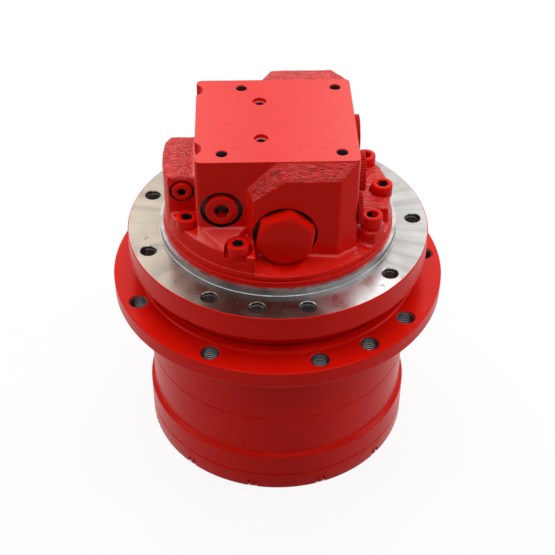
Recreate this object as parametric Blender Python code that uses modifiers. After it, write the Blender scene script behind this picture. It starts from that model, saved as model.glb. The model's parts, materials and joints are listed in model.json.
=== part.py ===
"""Excavator final drive: a hydraulic travel motor on a two-stage planetary gearbox.

The drive stands on the cover of its gearbox, with the shaft along +Z and the origin
under the shaft at the height of the cover's lowest face. The motor housing is the fixed
spindle. The hub with its internal ring gear turns around it on two bearings.
"""
import bpy
import bmesh
from math import acos, cos, pi, radians, sin, sqrt, tan
from mathutils import Matrix, Vector

MM = 0.001

# Clearances
SEAT = 0.3 * MM
FIT = 0.1 * MM
RUN = 0.05 * MM
FREE = 1.0 * MM

# Facets of a full circle
FACETS_LARGE = 36
FACETS_MEDIUM = 24
FACETS_SMALL = 12
FACETS_TINY = 8

# Gear teeth
GEAR_MODULE = 2.4 * MM
PRESSURE_ANGLE = radians(25)
RING_TEETH = 72
SUN_1_TEETH = 12
SUN_2_TEETH = 18
PLANET_COUNT = 3
TOOTH_THINNING = 0.14 * MM
PLANET_1_TEETH = (RING_TEETH - SUN_1_TEETH) // 2
PLANET_2_TEETH = (RING_TEETH - SUN_2_TEETH) // 2
ORBIT_1_R = (SUN_1_TEETH + PLANET_1_TEETH) * GEAR_MODULE / 2
ORBIT_2_R = (SUN_2_TEETH + PLANET_2_TEETH) * GEAR_MODULE / 2
RING_TIP_R = (RING_TEETH / 2 - 1) * GEAR_MODULE
RING_ROOT_R = (RING_TEETH / 2 + 1.25) * GEAR_MODULE

# Drum around the ring gear
HUB_WALL = 16.0 * MM
HUB_BARREL_R = RING_ROOT_R + HUB_WALL

# Gearbox cover
COVER_STAND_OUT = 3.2 * MM
COVER_R = HUB_BARREL_R + COVER_STAND_OUT
COVER_EDGE_IN = 0.9 * MM
COVER_FOOT_R = COVER_R - COVER_EDGE_IN
COVER_EDGE_H = 2.0 * MM
COVER_H = 16.4 * MM
COVER_DISH_H = 2.0 * MM
COVER_WALL = 9.0 * MM
COVER_SPIGOT_H = 2.6 * MM
COVER_THRUST_R = 9.0 * MM
COVER_POCKETS = 12
COVER_POCKET_PHASE = radians(17.5)
COVER_POCKET_R = 6.2 * MM
COVER_POCKET_DEPTH = 7.2 * MM
COVER_POCKET_EDGE = 4.1 * MM
COVER_POCKET_PITCH_R = COVER_FOOT_R - COVER_POCKET_EDGE
COVER_DISH_EDGE = 5.4 * MM
COVER_DISH_R = COVER_POCKET_PITCH_R - COVER_POCKET_R - COVER_DISH_EDGE
OIL_PLUG_R = 8.0 * MM
OIL_PLUG_PITCH_R = 60.0 * MM
OIL_PLUG_ANGLES = (radians(200), radians(290))
OIL_PLUG_RECESS = 0.8 * MM
OIL_PLUG_KEY = 8.0 * MM

# Planetary stages, stacked upwards from the cover
STAGE_1_W = 20.0 * MM
CARRIER_1_T = 8.0 * MM
PIN_1_R = 10.0 * MM
PIN_1_EDGE = 5.6 * MM
CARRIER_1_R = ORBIT_1_R + PIN_1_R + PIN_1_EDGE
STAGE_2_W = 28.0 * MM
CARRIER_2_T = 9.0 * MM
PIN_2_R = 11.0 * MM
PIN_2_EDGE = 7.0 * MM
CARRIER_2_R = ORBIT_2_R + PIN_2_R + PIN_2_EDGE
NUT_T = 10.5 * MM
SUN_2_BORE_R = 12.0 * MM

# Spindle, main bearings and seal, from the motor's cavity outwards
CAVITY_R = 50.0 * MM
SPINDLE_WALL = 15.0 * MM
SPINDLE_R = CAVITY_R + SPINDLE_WALL
SPINDLE_THREAD_STEP = 3.0 * MM
SPINDLE_THREAD_R = SPINDLE_R - SPINDLE_THREAD_STEP
SPINDLE_NOSE_R = 40.0 * MM
SPLINE_DEPTH = 3.0 * MM
NOSE_SPLINES = 12
SPINDLE_SHOULDER = 7.0 * MM
SPINDLE_SHOULDER_R = SPINDLE_R + SPINDLE_SHOULDER
NUT_WALL = 12.0 * MM
NUT_R = SPINDLE_THREAD_R + NUT_WALL
BEARING_W = 20.0 * MM
BEARING_HEIGHT = 18.0 * MM
BEARING_OUTER_R = SPINDLE_R + BEARING_HEIGHT
BEARING_LAND = 7.0 * MM
BEARING_LAND_HEIGHT = 4.0 * MM
BEARING_LAND_R = BEARING_OUTER_R - BEARING_LAND_HEIGHT
SEAL_RING_W = 4.6 * MM
SEAL_RING_T = 8.0 * MM
SEAL_INNER_R = BEARING_OUTER_R + FREE
SEAL_OUTER_R = SEAL_INNER_R + SEAL_RING_T
SKIRT_WALL = 9.5 * MM
HOUSING_SKIRT_R = SEAL_OUTER_R + SKIRT_WALL

# Hub
HUB_FOOT_R = COVER_R
HUB_FOOT_H = 20.0 * MM
HUB_FOOT_CHAMFER = 2.8 * MM
SPROCKET_FLANGE_W = 26.5 * MM
SPROCKET_FLANGE_R = HUB_BARREL_R + SPROCKET_FLANGE_W
SPROCKET_FLANGE_T = 13.6 * MM
SPROCKET_HOLE_R = 6.0 * MM
SPROCKET_HOLE_EDGE = 6.2 * MM
SPROCKET_PITCH_R = SPROCKET_FLANGE_R - SPROCKET_HOLE_R - SPROCKET_HOLE_EDGE
SPROCKET_PHASE = radians(3.3)
SPROCKET_EXTRA_HOLE = radians(303.3)
HUB_LIP_GAP = 1.5 * MM
HUB_LIP_BORE_R = HOUSING_SKIRT_R + HUB_LIP_GAP
HUB_LIP_W = 7.0 * MM
HUB_LIP_R = HUB_LIP_BORE_R + HUB_LIP_W
HUB_LIP_H = 1.5 * MM
HUB_RECESS = 4.0 * MM
EDGE_CHAMFER = 0.8 * MM
HUB_FILLET = 5.0 * MM

# Motor housing with the frame flange
FLANGE_GAP = 20.7 * MM
FRAME_FLANGE_W = 16.5 * MM
FRAME_FLANGE_R = HOUSING_SKIRT_R + FRAME_FLANGE_W
FRAME_FLANGE_T = 20.6 * MM
FRAME_HOLE_R = 5.2 * MM
FRAME_HOLE_EDGE = 6.4 * MM
FRAME_PITCH_R = FRAME_FLANGE_R - FRAME_HOLE_R - FRAME_HOLE_EDGE
FLANGE_HOLES = 9
FRAME_EXTRA_HOLE = radians(260)
JOINT_R = 88.9 * MM
PILOT_STEP = 3.6 * MM
PILOT_R = JOINT_R + PILOT_STEP
PILOT_H = 5.4 * MM
PILOT_NECK_STEP = 0.6 * MM
PILOT_NECK_R = JOINT_R + PILOT_NECK_STEP
PILOT_NECK_H = 4.5 * MM
CAVITY_FLOOR_T = 12.0 * MM
BRAKE_BORE_STEP = 10.0 * MM
BRAKE_BORE_R = CAVITY_R + BRAKE_BORE_STEP
BRAKE_UPPER_STEP = 4.0 * MM
BRAKE_STEP_R = BRAKE_BORE_R + BRAKE_UPPER_STEP

# Rotating group of the motor
SHAFT_JOURNAL_R = 12.5 * MM
SHAFT_R = 10.5 * MM
SHAFT_SPLINE_R = 16.0 * MM
SHAFT_TIP_R = 8.0 * MM
SHAFT_SPLINES = 10
TIP_SPLINES = 6
TIP_SPLINE_DEPTH = 1.4 * MM
SHAFT_TOP_R = 10.0 * MM
FRONT_BEARING_HEIGHT = 12.5 * MM
FRONT_BEARING_R = SHAFT_JOURNAL_R + FRONT_BEARING_HEIGHT
FRONT_BEARING_W = 12.0 * MM
REAR_BEARING_HEIGHT = 9.0 * MM
REAR_BEARING_R = SHAFT_TOP_R + REAR_BEARING_HEIGHT
REAR_BEARING_W = 12.0 * MM
SHAFT_SEAL_HEIGHT = 7.5 * MM
SHAFT_SEAL_R = SHAFT_JOURNAL_R + SHAFT_SEAL_HEIGHT
SHAFT_SEAL_W = 5.0 * MM
BLOCK_GAP = 4.0 * MM
BLOCK_R = CAVITY_R - BLOCK_GAP
BLOCK_EDGE = 2.0 * MM
VALVE_PLATE_R = BLOCK_R - BLOCK_EDGE
VALVE_PLATE_T = 5.8 * MM
VALVE_PLATE_BORE_R = 13.0 * MM
BLOCK_H = 54.0 * MM
BLOCK_NOSE_R = 19.0 * MM
BLOCK_NOSE_H = 17.5 * MM
PISTONS = 7
PISTON_EDGE = 15.0 * MM
PISTON_PITCH_R = BLOCK_R - PISTON_EDGE
PISTON_R = 8.5 * MM
PISTON_ENGAGEMENT = 34.0 * MM
PISTON_NECK_R = 5.0 * MM
SLIPPER_GAP = 5.9 * MM
SLIPPER_R = PISTON_PITCH_R * sin(pi / PISTONS) - SLIPPER_GAP / 2
SLIPPER_T = 3.0 * MM
RETAINER_T = 3.0 * MM
RETAINER_R = BLOCK_R - BLOCK_EDGE
SWASH_GAP = 3.0 * MM
SWASH_R = CAVITY_R - SWASH_GAP
SWASH_T = 12.0 * MM
SWASH_BORE_R = 22.0 * MM
SWASH_JOURNAL_R = 12.5 * MM
SWASH_JOURNAL_DROP = 8.2 * MM
CRADLE_H = 6.5 * MM
CRADLE_W = 20.0 * MM
CRADLE_X = (SWASH_R - CRADLE_W - SWASH_GAP, SWASH_R - SWASH_GAP)
CRADLE_HALF_Y = 15.0 * MM

# Parking brake
BRAKE_PLATE_T = 3.0 * MM
BRAKE_STACK_DEPTH = 42.4 * MM
BRAKE_PISTON_H = 20.0 * MM
BRAKE_STEP_H = 8.0 * MM
BRAKE_BOTTOM_GAP = 2.0 * MM
BRAKE_SPRING_T = 2.5 * MM

# Valve body: heights are counted from the joint with the housing
RIM_IN = 0.7 * MM
RIM_R = JOINT_R - RIM_IN
RIM_H = 4.0 * MM
DECK_R = 66.0 * MM
DECK_H = 7.4 * MM
PLATEAU_IN = 0.4 * MM
PLATEAU_FOOT_R = RIM_R - PLATEAU_IN
PLATEAU_DRAFT = 1.0 * MM
PLATEAU_R = PLATEAU_FOOT_R - PLATEAU_DRAFT
PLATEAU_H = 19.4 * MM
PLATEAU_LEFT_X = -19.0 * MM
PLATEAU_RIGHT_Y = (-26.0 * MM, 62.0 * MM)
APRON_H = 27.0 * MM
APRON_ANGLES = tuple(radians(a) for a in (224, 230, 236, 242))
BLOCK_X = (-61.5 * MM, 56.7 * MM)
BLOCK_Y = 56.5 * MM
BLOCK_TOP = 83.4 * MM
BLOCK_CORNER_R = 4.0 * MM
PORT_AXIS_H = 53.4 * MM
PORT_Y = 25.0 * MM
PORT_R = 10.0 * MM
PORT_DEPTH = 40.0 * MM
PORT_CAP_R = 15.0 * MM
PORT_CAP_T = 6.4 * MM
DRAIN_Y = -46.0 * MM
DRAIN_H = 34.4 * MM
DRAIN_R = 7.0 * MM
DRAIN_CAP_R = 12.0 * MM
DRAIN_CAP_T = 3.8 * MM
DRAIN_DEPTH = 14.0 * MM
CAP_SHANK = 9.0 * MM
CAP_RIBS = 14
GALLERY_X = 24.0 * MM
GALLERY_R = 5.0 * MM
BOLT_EDGE = 8.5 * MM
BOLT_PITCH_R = JOINT_R - BOLT_EDGE
BOLT_ANGLES = tuple(radians(a) for a in (358.5, 28, 112, 149, 210.5, 247, 328.8))
BOLT_SEAT_H = 15.4 * MM
BOLT_R = 5.0 * MM
BOLT_HOLE_GAP = 0.5 * MM
BOLT_HOLE_R = BOLT_R + BOLT_HOLE_GAP
BOLT_THREAD_DEPTH = 13.0 * MM
BOLT_HEAD_R = 8.0 * MM
BOLT_HEAD_H = 10.0 * MM
BOLT_KEY = 8.0 * MM
BOLT_POCKET_GAP = 1.2 * MM
BOLT_POCKET_R = BOLT_HEAD_R + BOLT_POCKET_GAP
BOLT_LUG_WALL = 1.8 * MM
BOLT_LUG_R = BOLT_POCKET_R + BOLT_LUG_WALL
PAD_HOLES = ((-27.0, 45.0), (45.0, 45.0), (-42.0, -45.0), (44.0, -45.0))
PAD_HOLE_R = 3.4 * MM
PAD_HOLE_DEPTH = 16.0 * MM
PAD_PORTS = ((-13.5, 25.4), (-13.5, -25.4))
PAD_PORT_R = 3.0 * MM
PAD_PORT_SEAT_W = 2.2 * MM
PAD_PORT_SEAT_R = PAD_PORT_R + PAD_PORT_SEAT_W
PAD_PORT_SEAT_DEPTH = 2.6 * MM
PAD_PORT_DEPTH = 24.0 * MM

# Counterbalance valve, across the block
SPOOL_X = 3.0 * MM
SPOOL_H = 25.9 * MM
SPOOL_R = 11.0 * MM
SPOOL_NECK_R = 7.0 * MM
SPOOL_LAND = 13.0 * MM
SPOOL_HALF = 30.0 * MM
SPOOL_TRAVEL = 5.0 * MM
SPOOL_CHAMBER = 15.0 * MM
HEX_PLUG_KEY = 40.0 * MM
HEX_PLUG_HEAD_H = 11.0 * MM
HEX_PLUG_SHANK_R = 15.0 * MM
SPOTFACE_GAP = 0.6 * MM
SPOTFACE_R = HEX_PLUG_KEY / 2 / cos(pi / 6) + SPOTFACE_GAP
SPOTFACE_DEPTH = 2.0 * MM
FRONT_BOSS_REACH = 9.5 * MM
FRONT_BOSS_Y = -BLOCK_Y - FRONT_BOSS_REACH
REAR_BOSS_REACH = 20.5 * MM
REAR_BOSS_Y = BLOCK_Y + REAR_BOSS_REACH
BOSS_LEFT_X = -24.0 * MM
BOSS_SHOULDER_H = 61.0 * MM
BOSS_SLOPE_X = -3.0 * MM
FRONT_BOSS_CORNERS = ((-20.3 * MM, 55.1 * MM), (2.5 * MM, 72.1 * MM), (42.0 * MM, 72.0 * MM))
REAR_BOSS_CORNERS = ((-19.0 * MM, 62.0 * MM), (-3.0 * MM, 80.2 * MM), (44.0 * MM, 80.2 * MM),
                     (54.5 * MM, 71.5 * MM))

# Speed selector valve, in the ear on the left
EAR_X = -PLATEAU_FOOT_R
EAR_HALF_Y = 28.0 * MM
EAR_TOP = 51.4 * MM
EAR_PLUG_X = -72.6 * MM
EAR_PLUG_H = 39.4 * MM
EAR_PLUG_R = 7.4 * MM
EAR_PLUG_THREAD_R = 6.0 * MM
EAR_PLUG_SEAT_W = 1.8 * MM
EAR_PLUG_SEAT_R = EAR_PLUG_R + EAR_PLUG_SEAT_W
EAR_PLUG_KEY = 6.0 * MM
SELECTOR_R = 4.5 * MM
SELECTOR_LENGTH = 20.0 * MM
SELECTOR_TRAVEL = 3.0 * MM
SELECTOR_CHAMBER = 8.0 * MM

# Plug of the relief gallery on the front face
GALLERY_PLUG_X = -42.9 * MM
GALLERY_PLUG_H = 42.3 * MM
GALLERY_PLUG_R = 11.9 * MM
GALLERY_PLUG_THREAD_R = 9.5 * MM
GALLERY_PLUG_SEAT_W = 3.4 * MM
GALLERY_PLUG_SEAT_R = GALLERY_PLUG_R + GALLERY_PLUG_SEAT_W
GALLERY_PLUG_KEY = 10.0 * MM
SOCKET_PLUG_HEAD_H = 4.0 * MM
SOCKET_PLUG_LENGTH = 16.0 * MM
SOCKET_PLUG_SEAT_DEPTH = 2.0 * MM

# Heights that follow from the sizes above, from the ground upwards
HUB_Z = COVER_H + SEAT
STAGE_1_Z = COVER_H + COVER_SPIGOT_H + FREE
CARRIER_1_Z = STAGE_1_Z + STAGE_1_W + SEAT
STAGE_2_Z = CARRIER_1_Z + CARRIER_1_T + 2.1 * FREE
CARRIER_2_Z = STAGE_2_Z + STAGE_2_W + SEAT
SPINDLE_END_Z = CARRIER_2_Z + CARRIER_2_T + SEAT
NUT_Z = SPINDLE_END_Z + SEAT
LOWER_BEARING_Z = NUT_Z + NUT_T + SEAT
BEARING_LAND_Z = LOWER_BEARING_Z + BEARING_W + SEAT
UPPER_BEARING_Z = BEARING_LAND_Z + BEARING_LAND + SEAT
SHOULDER_Z = UPPER_BEARING_Z + BEARING_W + SEAT
SEAL_FACE_Z = SHOULDER_Z + SEAT + SEAL_RING_W + SEAT / 2
SEAL_ROOF_Z = SEAL_FACE_Z + SEAT / 2 + SEAL_RING_W + SEAT
SPROCKET_TOP_Z = SHOULDER_Z + 5.5 * MM
SPROCKET_BOTTOM_Z = SPROCKET_TOP_Z - SPROCKET_FLANGE_T
HUB_LIP_Z = SPROCKET_TOP_Z + HUB_LIP_H
FRAME_BOTTOM_Z = SPROCKET_TOP_Z + FLANGE_GAP
FRAME_TOP_Z = FRAME_BOTTOM_Z + FRAME_FLANGE_T
JOINT_Z = FRAME_TOP_Z + PILOT_H + PILOT_NECK_H
VALVE_Z = JOINT_Z + SEAT
CAVITY_Z = SPINDLE_END_Z + CAVITY_FLOOR_T
SWASH_AXIS_Z = CAVITY_Z + SEAT + SWASH_JOURNAL_R
SWASH_FACE_Z = SWASH_AXIS_Z + SWASH_JOURNAL_DROP
VALVE_PLATE_Z = JOINT_Z - SEAT - VALVE_PLATE_T
BLOCK_Z = VALVE_PLATE_Z - SEAT - BLOCK_H
BRAKE_FLOOR_Z = JOINT_Z - BRAKE_STACK_DEPTH
SEPARATOR_1_Z = BRAKE_FLOOR_Z + SEAT
FRICTION_Z = SEPARATOR_1_Z + BRAKE_PLATE_T + SEAT
SEPARATOR_2_Z = FRICTION_Z + BRAKE_PLATE_T + SEAT
BRAKE_PISTON_Z = SEPARATOR_2_Z + BRAKE_PLATE_T + SEAT
BRAKE_PISTON_TOP_Z = BRAKE_PISTON_Z + BRAKE_PISTON_H
BRAKE_STEP_Z = BRAKE_PISTON_TOP_Z - BRAKE_STEP_H


# Objects, cutters and materials

def collection(name):
    made = bpy.data.collections.new(name)
    bpy.context.scene.collection.children.link(made)
    return made


def material(name, colour, roughness, metallic):
    made = bpy.data.materials.new(name)
    made.use_nodes = True
    shader = made.node_tree.nodes["Principled BSDF"]
    shader.inputs["Base Color"].default_value = (*colour, 1.0)
    shader.inputs["Roughness"].default_value = roughness
    shader.inputs["Metallic"].default_value = metallic
    made.diffuse_color = (*colour, 1.0)
    return made


def add(name, mesh, paint=None):
    """Links a mesh as a part, or as a hidden cutter where it has no paint."""
    made = bpy.data.objects.new(name, mesh)
    if paint:
        mesh.materials.append(paint)
        PARTS.objects.link(made)
    else:
        made.hide_render = True
        made.display_type = 'WIRE'
        CUTTERS.objects.link(made)
    return made


def to_mesh(name, builder):
    """A mesh made by a function that fills an empty bmesh."""
    shape = bmesh.new()
    builder(shape)
    bmesh.ops.recalc_face_normals(shape, faces=shape.faces)
    mesh = bpy.data.meshes.new(name)
    shape.to_mesh(mesh)
    shape.free()
    return mesh


def flats(radius, facets):
    """Radius of a faceted bore whose flats touch the given circle."""
    return radius / cos(pi / facets)


def polar(radius, angle):
    return Vector((radius * cos(angle), radius * sin(angle), 0.0))


def turned(name, profile, paint=None, facets=FACETS_LARGE, origin=(0, 0, 0), tilt=None):
    """Revolves a profile of (radius, height) pairs that runs down its outer side."""
    closed = profile[0][0] > 0
    mesh = bpy.data.meshes.new(name)
    points = [(r, 0.0, z) for r, z in profile]
    edges = [(i, i + 1) for i in range(len(points) - 1)]
    if closed:
        edges.append((len(points) - 1, 0))
    mesh.from_pydata(points, edges, [])
    made = add(name, mesh, paint)
    screw = made.modifiers.new("Turn", 'SCREW')
    screw.steps = facets
    screw.render_steps = facets
    screw.use_merge_vertices = True
    screw.merge_threshold = 0.00001
    made.location = origin
    if tilt:
        made.rotation_euler = tilt
    return made


def bar(name, radius, start, end, paint=None, facets=FACETS_SMALL, end_radius=None, spin=0.0):
    """A straight round or many-sided bar between two points."""
    start = Vector(start)
    axis = Vector(end) - start
    turn = axis.to_track_quat('Z', 'X').to_matrix().to_4x4() @ Matrix.Rotation(spin, 4, 'Z')
    place = Matrix.Translation(start + axis / 2) @ turn

    def build(shape):
        bmesh.ops.create_cone(shape, cap_ends=True, segments=facets, radius1=radius,
                              radius2=radius if end_radius is None else end_radius,
                              depth=axis.length, matrix=place)

    return add(name, to_mesh(name, build), paint)


def box(name, low, high, paint=None):
    low = Vector(low)
    size = Vector(high) - low
    place = Matrix.Translation(low + size / 2) @ Matrix.Diagonal((*size, 1.0))

    def build(shape):
        bmesh.ops.create_cube(shape, size=1.0, matrix=place)

    return add(name, to_mesh(name, build), paint)


def hull(name, points, paint=None):
    """The loft between two or more unlike convex sections."""
    def build(shape):
        for point in points:
            shape.verts.new(point)
        bmesh.ops.convex_hull(shape, input=shape.verts)

    return add(name, to_mesh(name, build), paint)


def outline_mesh(name, outlines, bottom, top):
    """Extrudes closed outlines, of which the inner ones are holes."""
    curve = bpy.data.curves.new(name, 'CURVE')
    curve.dimensions = '2D'
    curve.fill_mode = 'BOTH'
    curve.extrude = (top - bottom) / 2
    for outline in outlines:
        spline = curve.splines.new('POLY')
        spline.points.add(len(outline) - 1)
        for point, (x, y) in zip(spline.points, outline):
            point.co = (x, y, 0.0, 1.0)
        spline.use_cyclic_u = True
    sketch = bpy.data.objects.new(name, curve)
    CUTTERS.objects.link(sketch)
    bpy.context.view_layer.update()
    flat = bpy.data.meshes.new_from_object(sketch.evaluated_get(bpy.context.evaluated_depsgraph_get()))
    shape = bmesh.new()
    shape.from_mesh(flat)
    bmesh.ops.remove_doubles(shape, verts=shape.verts, dist=0.000001)
    bmesh.ops.recalc_face_normals(shape, faces=shape.faces)
    bmesh.ops.translate(shape, verts=shape.verts, vec=(0, 0, (top + bottom) / 2))
    mesh = bpy.data.meshes.new(name)
    shape.to_mesh(mesh)
    shape.free()
    bpy.data.objects.remove(sketch)
    bpy.data.curves.remove(curve)
    bpy.data.meshes.remove(flat)
    return mesh


def plate(name, outlines, bottom, top, paint=None):
    return add(name, outline_mesh(name, outlines, bottom, top), paint)


def boolean(target, tool, operation):
    step = target.modifiers.new(tool.name, 'BOOLEAN')
    step.operation = operation
    step.object = tool
    step.solver = 'EXACT'


def cut(target, *tools):
    for tool in tools:
        boolean(target, tool, 'DIFFERENCE')


def join(target, *tools):
    for tool in tools:
        boolean(target, tool, 'UNION')


def merged(name, tools):
    """One cutter from several that stay clear of each other."""
    bpy.context.view_layer.update()
    graph = bpy.context.evaluated_depsgraph_get()
    shape = bmesh.new()
    for tool in tools:
        copy = bpy.data.meshes.new_from_object(tool.evaluated_get(graph))
        copy.transform(tool.matrix_world)
        shape.from_mesh(copy)
        bpy.data.meshes.remove(copy)
        bpy.data.objects.remove(tool)
    mesh = bpy.data.meshes.new(name)
    shape.to_mesh(mesh)
    shape.free()
    return add(name, mesh)


def finish_shading(made):
    """Applies the modifiers and shades the round faces smooth, with sharp edges kept."""
    graph = bpy.context.evaluated_depsgraph_get()
    mesh = bpy.data.meshes.new_from_object(made.evaluated_get(graph))
    mesh.name = made.name
    made.modifiers.clear()
    made.data = mesh
    mesh.shade_smooth()
    mesh.set_sharp_from_angle(angle=radians(32))


# Outlines

def circle(radius, facets, centre=(0.0, 0.0)):
    steps = [2 * pi * i / facets for i in range(facets)]
    return [(centre[0] + radius * cos(a), centre[1] + radius * sin(a)) for a in steps]


def involute(angle):
    return tan(angle) - angle


def half_tooth(teeth, radius, thinning):
    """Half the angle that a tooth covers at a radius, for an involute flank."""
    pitch_r = teeth * GEAR_MODULE / 2
    base_r = pitch_r * cos(PRESSURE_ANGLE)
    flank = acos(min(1.0, base_r / max(radius, base_r)))
    return pi / (2 * teeth) + involute(PRESSURE_ANGLE) - involute(flank) - thinning / (2 * pitch_r)


def gear_outline(teeth, spin=0.0, grow=0.0):
    """External teeth, the first one centred on the spin angle."""
    pitch_r = teeth * GEAR_MODULE / 2
    flank = [pitch_r - 1.25 * GEAR_MODULE + grow, pitch_r + GEAR_MODULE + grow]
    if teeth < SUN_2_TEETH:
        flank.insert(1, pitch_r)
    points = []
    for i in range(teeth):
        centre = spin + 2 * pi * i / teeth
        for side, radii in ((-1, flank), (1, flank[::-1])):
            for radius in radii:
                half = half_tooth(teeth, radius, TOOTH_THINNING - 2 * grow)
                points.append((radius * cos(centre + side * half), radius * sin(centre + side * half)))
    return points


def ring_outline():
    """The hollow of the ring gear: its tooth spaces, the first one centred on +X."""
    points = []
    for i in range(RING_TEETH):
        centre = 2 * pi * i / RING_TEETH
        for side, radii in ((-1, (RING_TIP_R, RING_ROOT_R)), (1, (RING_ROOT_R, RING_TIP_R))):
            for radius in radii:
                half = half_tooth(RING_TEETH, radius, -TOOTH_THINNING)
                points.append((radius * cos(centre + side * half), radius * sin(centre + side * half)))
    return points


def spline_outline(splines, radius, depth):
    """Straight-sided splines: equal teeth and spaces around a shaft."""
    points = []
    for i in range(splines):
        for step, r in ((-0.25, radius - depth), (-0.22, radius), (0.22, radius), (0.25, radius - depth)):
            angle = 2 * pi * (i + step) / splines
            points.append((r * cos(angle), r * sin(angle)))
    return points


def rounded_box(low, high, radius, steps=3):
    """A rectangle with rounded corners, counterclockwise from its lower right one."""
    corners = ((high[0] - radius, low[1] + radius, -pi / 2), (high[0] - radius, high[1] - radius, 0.0),
               (low[0] + radius, high[1] - radius, pi / 2), (low[0] + radius, low[1] + radius, pi))
    return [(x + radius * cos(start + pi / 2 * i / steps), y + radius * sin(start + pi / 2 * i / steps))
            for x, y, start in corners for i in range(steps + 1)]


def kidney(radius, half_width, centre, half_angle, steps=6):
    """A slot bent along a circle."""
    def arc(r, start, end):
        return [(r * cos(start + (end - start) * i / steps), r * sin(start + (end - start) * i / steps))
                for i in range(steps + 1)]

    return (arc(radius + half_width, centre - half_angle, centre + half_angle)
            + arc(radius - half_width, centre + half_angle, centre - half_angle))


def ribbed_outline(radius, ribs, depth):
    points = []
    for i in range(ribs):
        for step, r in ((0.0, radius), (0.5, radius), (0.6, radius - depth), (0.9, radius - depth)):
            angle = 2 * pi * (i + step) / ribs
            points.append((r * cos(angle), r * sin(angle)))
    return points


# Gear train

def planet_phase(angle, teeth):
    """Turn of a planet at an orbit angle that puts it in mesh with the ring gear."""
    return angle - angle * RING_TEETH / teeth


def make_planets(stage, teeth, orbit_r, pin_r, bottom, width):
    bore = circle(flats(pin_r + RUN, FACETS_SMALL), FACETS_SMALL)
    for i in range(PLANET_COUNT):
        angle = 2 * pi * i / PLANET_COUNT
        name = f"planet_gear_{stage}_{'abc'[i]}"
        outline = gear_outline(teeth, planet_phase(angle, teeth))
        gear = plate(name, [outline, bore], 0.0, width, GEAR_STEEL)
        gear.location = polar(orbit_r, angle) + Vector((0, 0, bottom))


def make_sun_2():
    """Sun of the second stage, whose lower end is splined into the first carrier."""
    bottom = CARRIER_1_Z + SEAT
    bore = circle(flats(SUN_2_BORE_R, FACETS_SMALL), FACETS_SMALL)
    plate("sun_gear_2", [gear_outline(SUN_2_TEETH), bore], bottom, STAGE_2_Z + STAGE_2_W, GEAR_STEEL)


def make_sun_1():
    spline = spline_outline(TIP_SPLINES, SHAFT_TIP_R + FIT, TIP_SPLINE_DEPTH)
    plate("sun_gear_1", [gear_outline(SUN_1_TEETH, pi / SUN_1_TEETH), spline],
          STAGE_1_Z, STAGE_1_Z + STAGE_1_W, GEAR_STEEL)


def carrier(name, outlines, bottom, top, orbit_r, pin_r, pin_bottom):
    """A carrier plate with its planet pins, which hang from its lower face."""
    made = plate(name, outlines, bottom, top, FORGED_STEEL)
    for i in range(PLANET_COUNT):
        foot = polar(orbit_r, 2 * pi * i / PLANET_COUNT)
        pin = bar(f"{name}_pin_{i}", pin_r, foot + Vector((0, 0, pin_bottom)),
                  foot + Vector((0, 0, top - FREE)), facets=FACETS_SMALL)
        join(made, pin)
    return made


def make_carriers():
    first = [circle(CARRIER_1_R, FACETS_MEDIUM), gear_outline(SUN_2_TEETH, grow=FIT)]
    carrier("carrier_1", first, CARRIER_1_Z, CARRIER_1_Z + CARRIER_1_T, ORBIT_1_R, PIN_1_R, STAGE_1_Z)
    second = [circle(CARRIER_2_R, FACETS_MEDIUM),
              spline_outline(NOSE_SPLINES, SPINDLE_NOSE_R + FIT, SPLINE_DEPTH)]
    carrier("carrier_2", second, CARRIER_2_Z, CARRIER_2_Z + CARRIER_2_T, ORBIT_2_R, PIN_2_R, STAGE_2_Z)


# Hub, cover and main bearings

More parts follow.
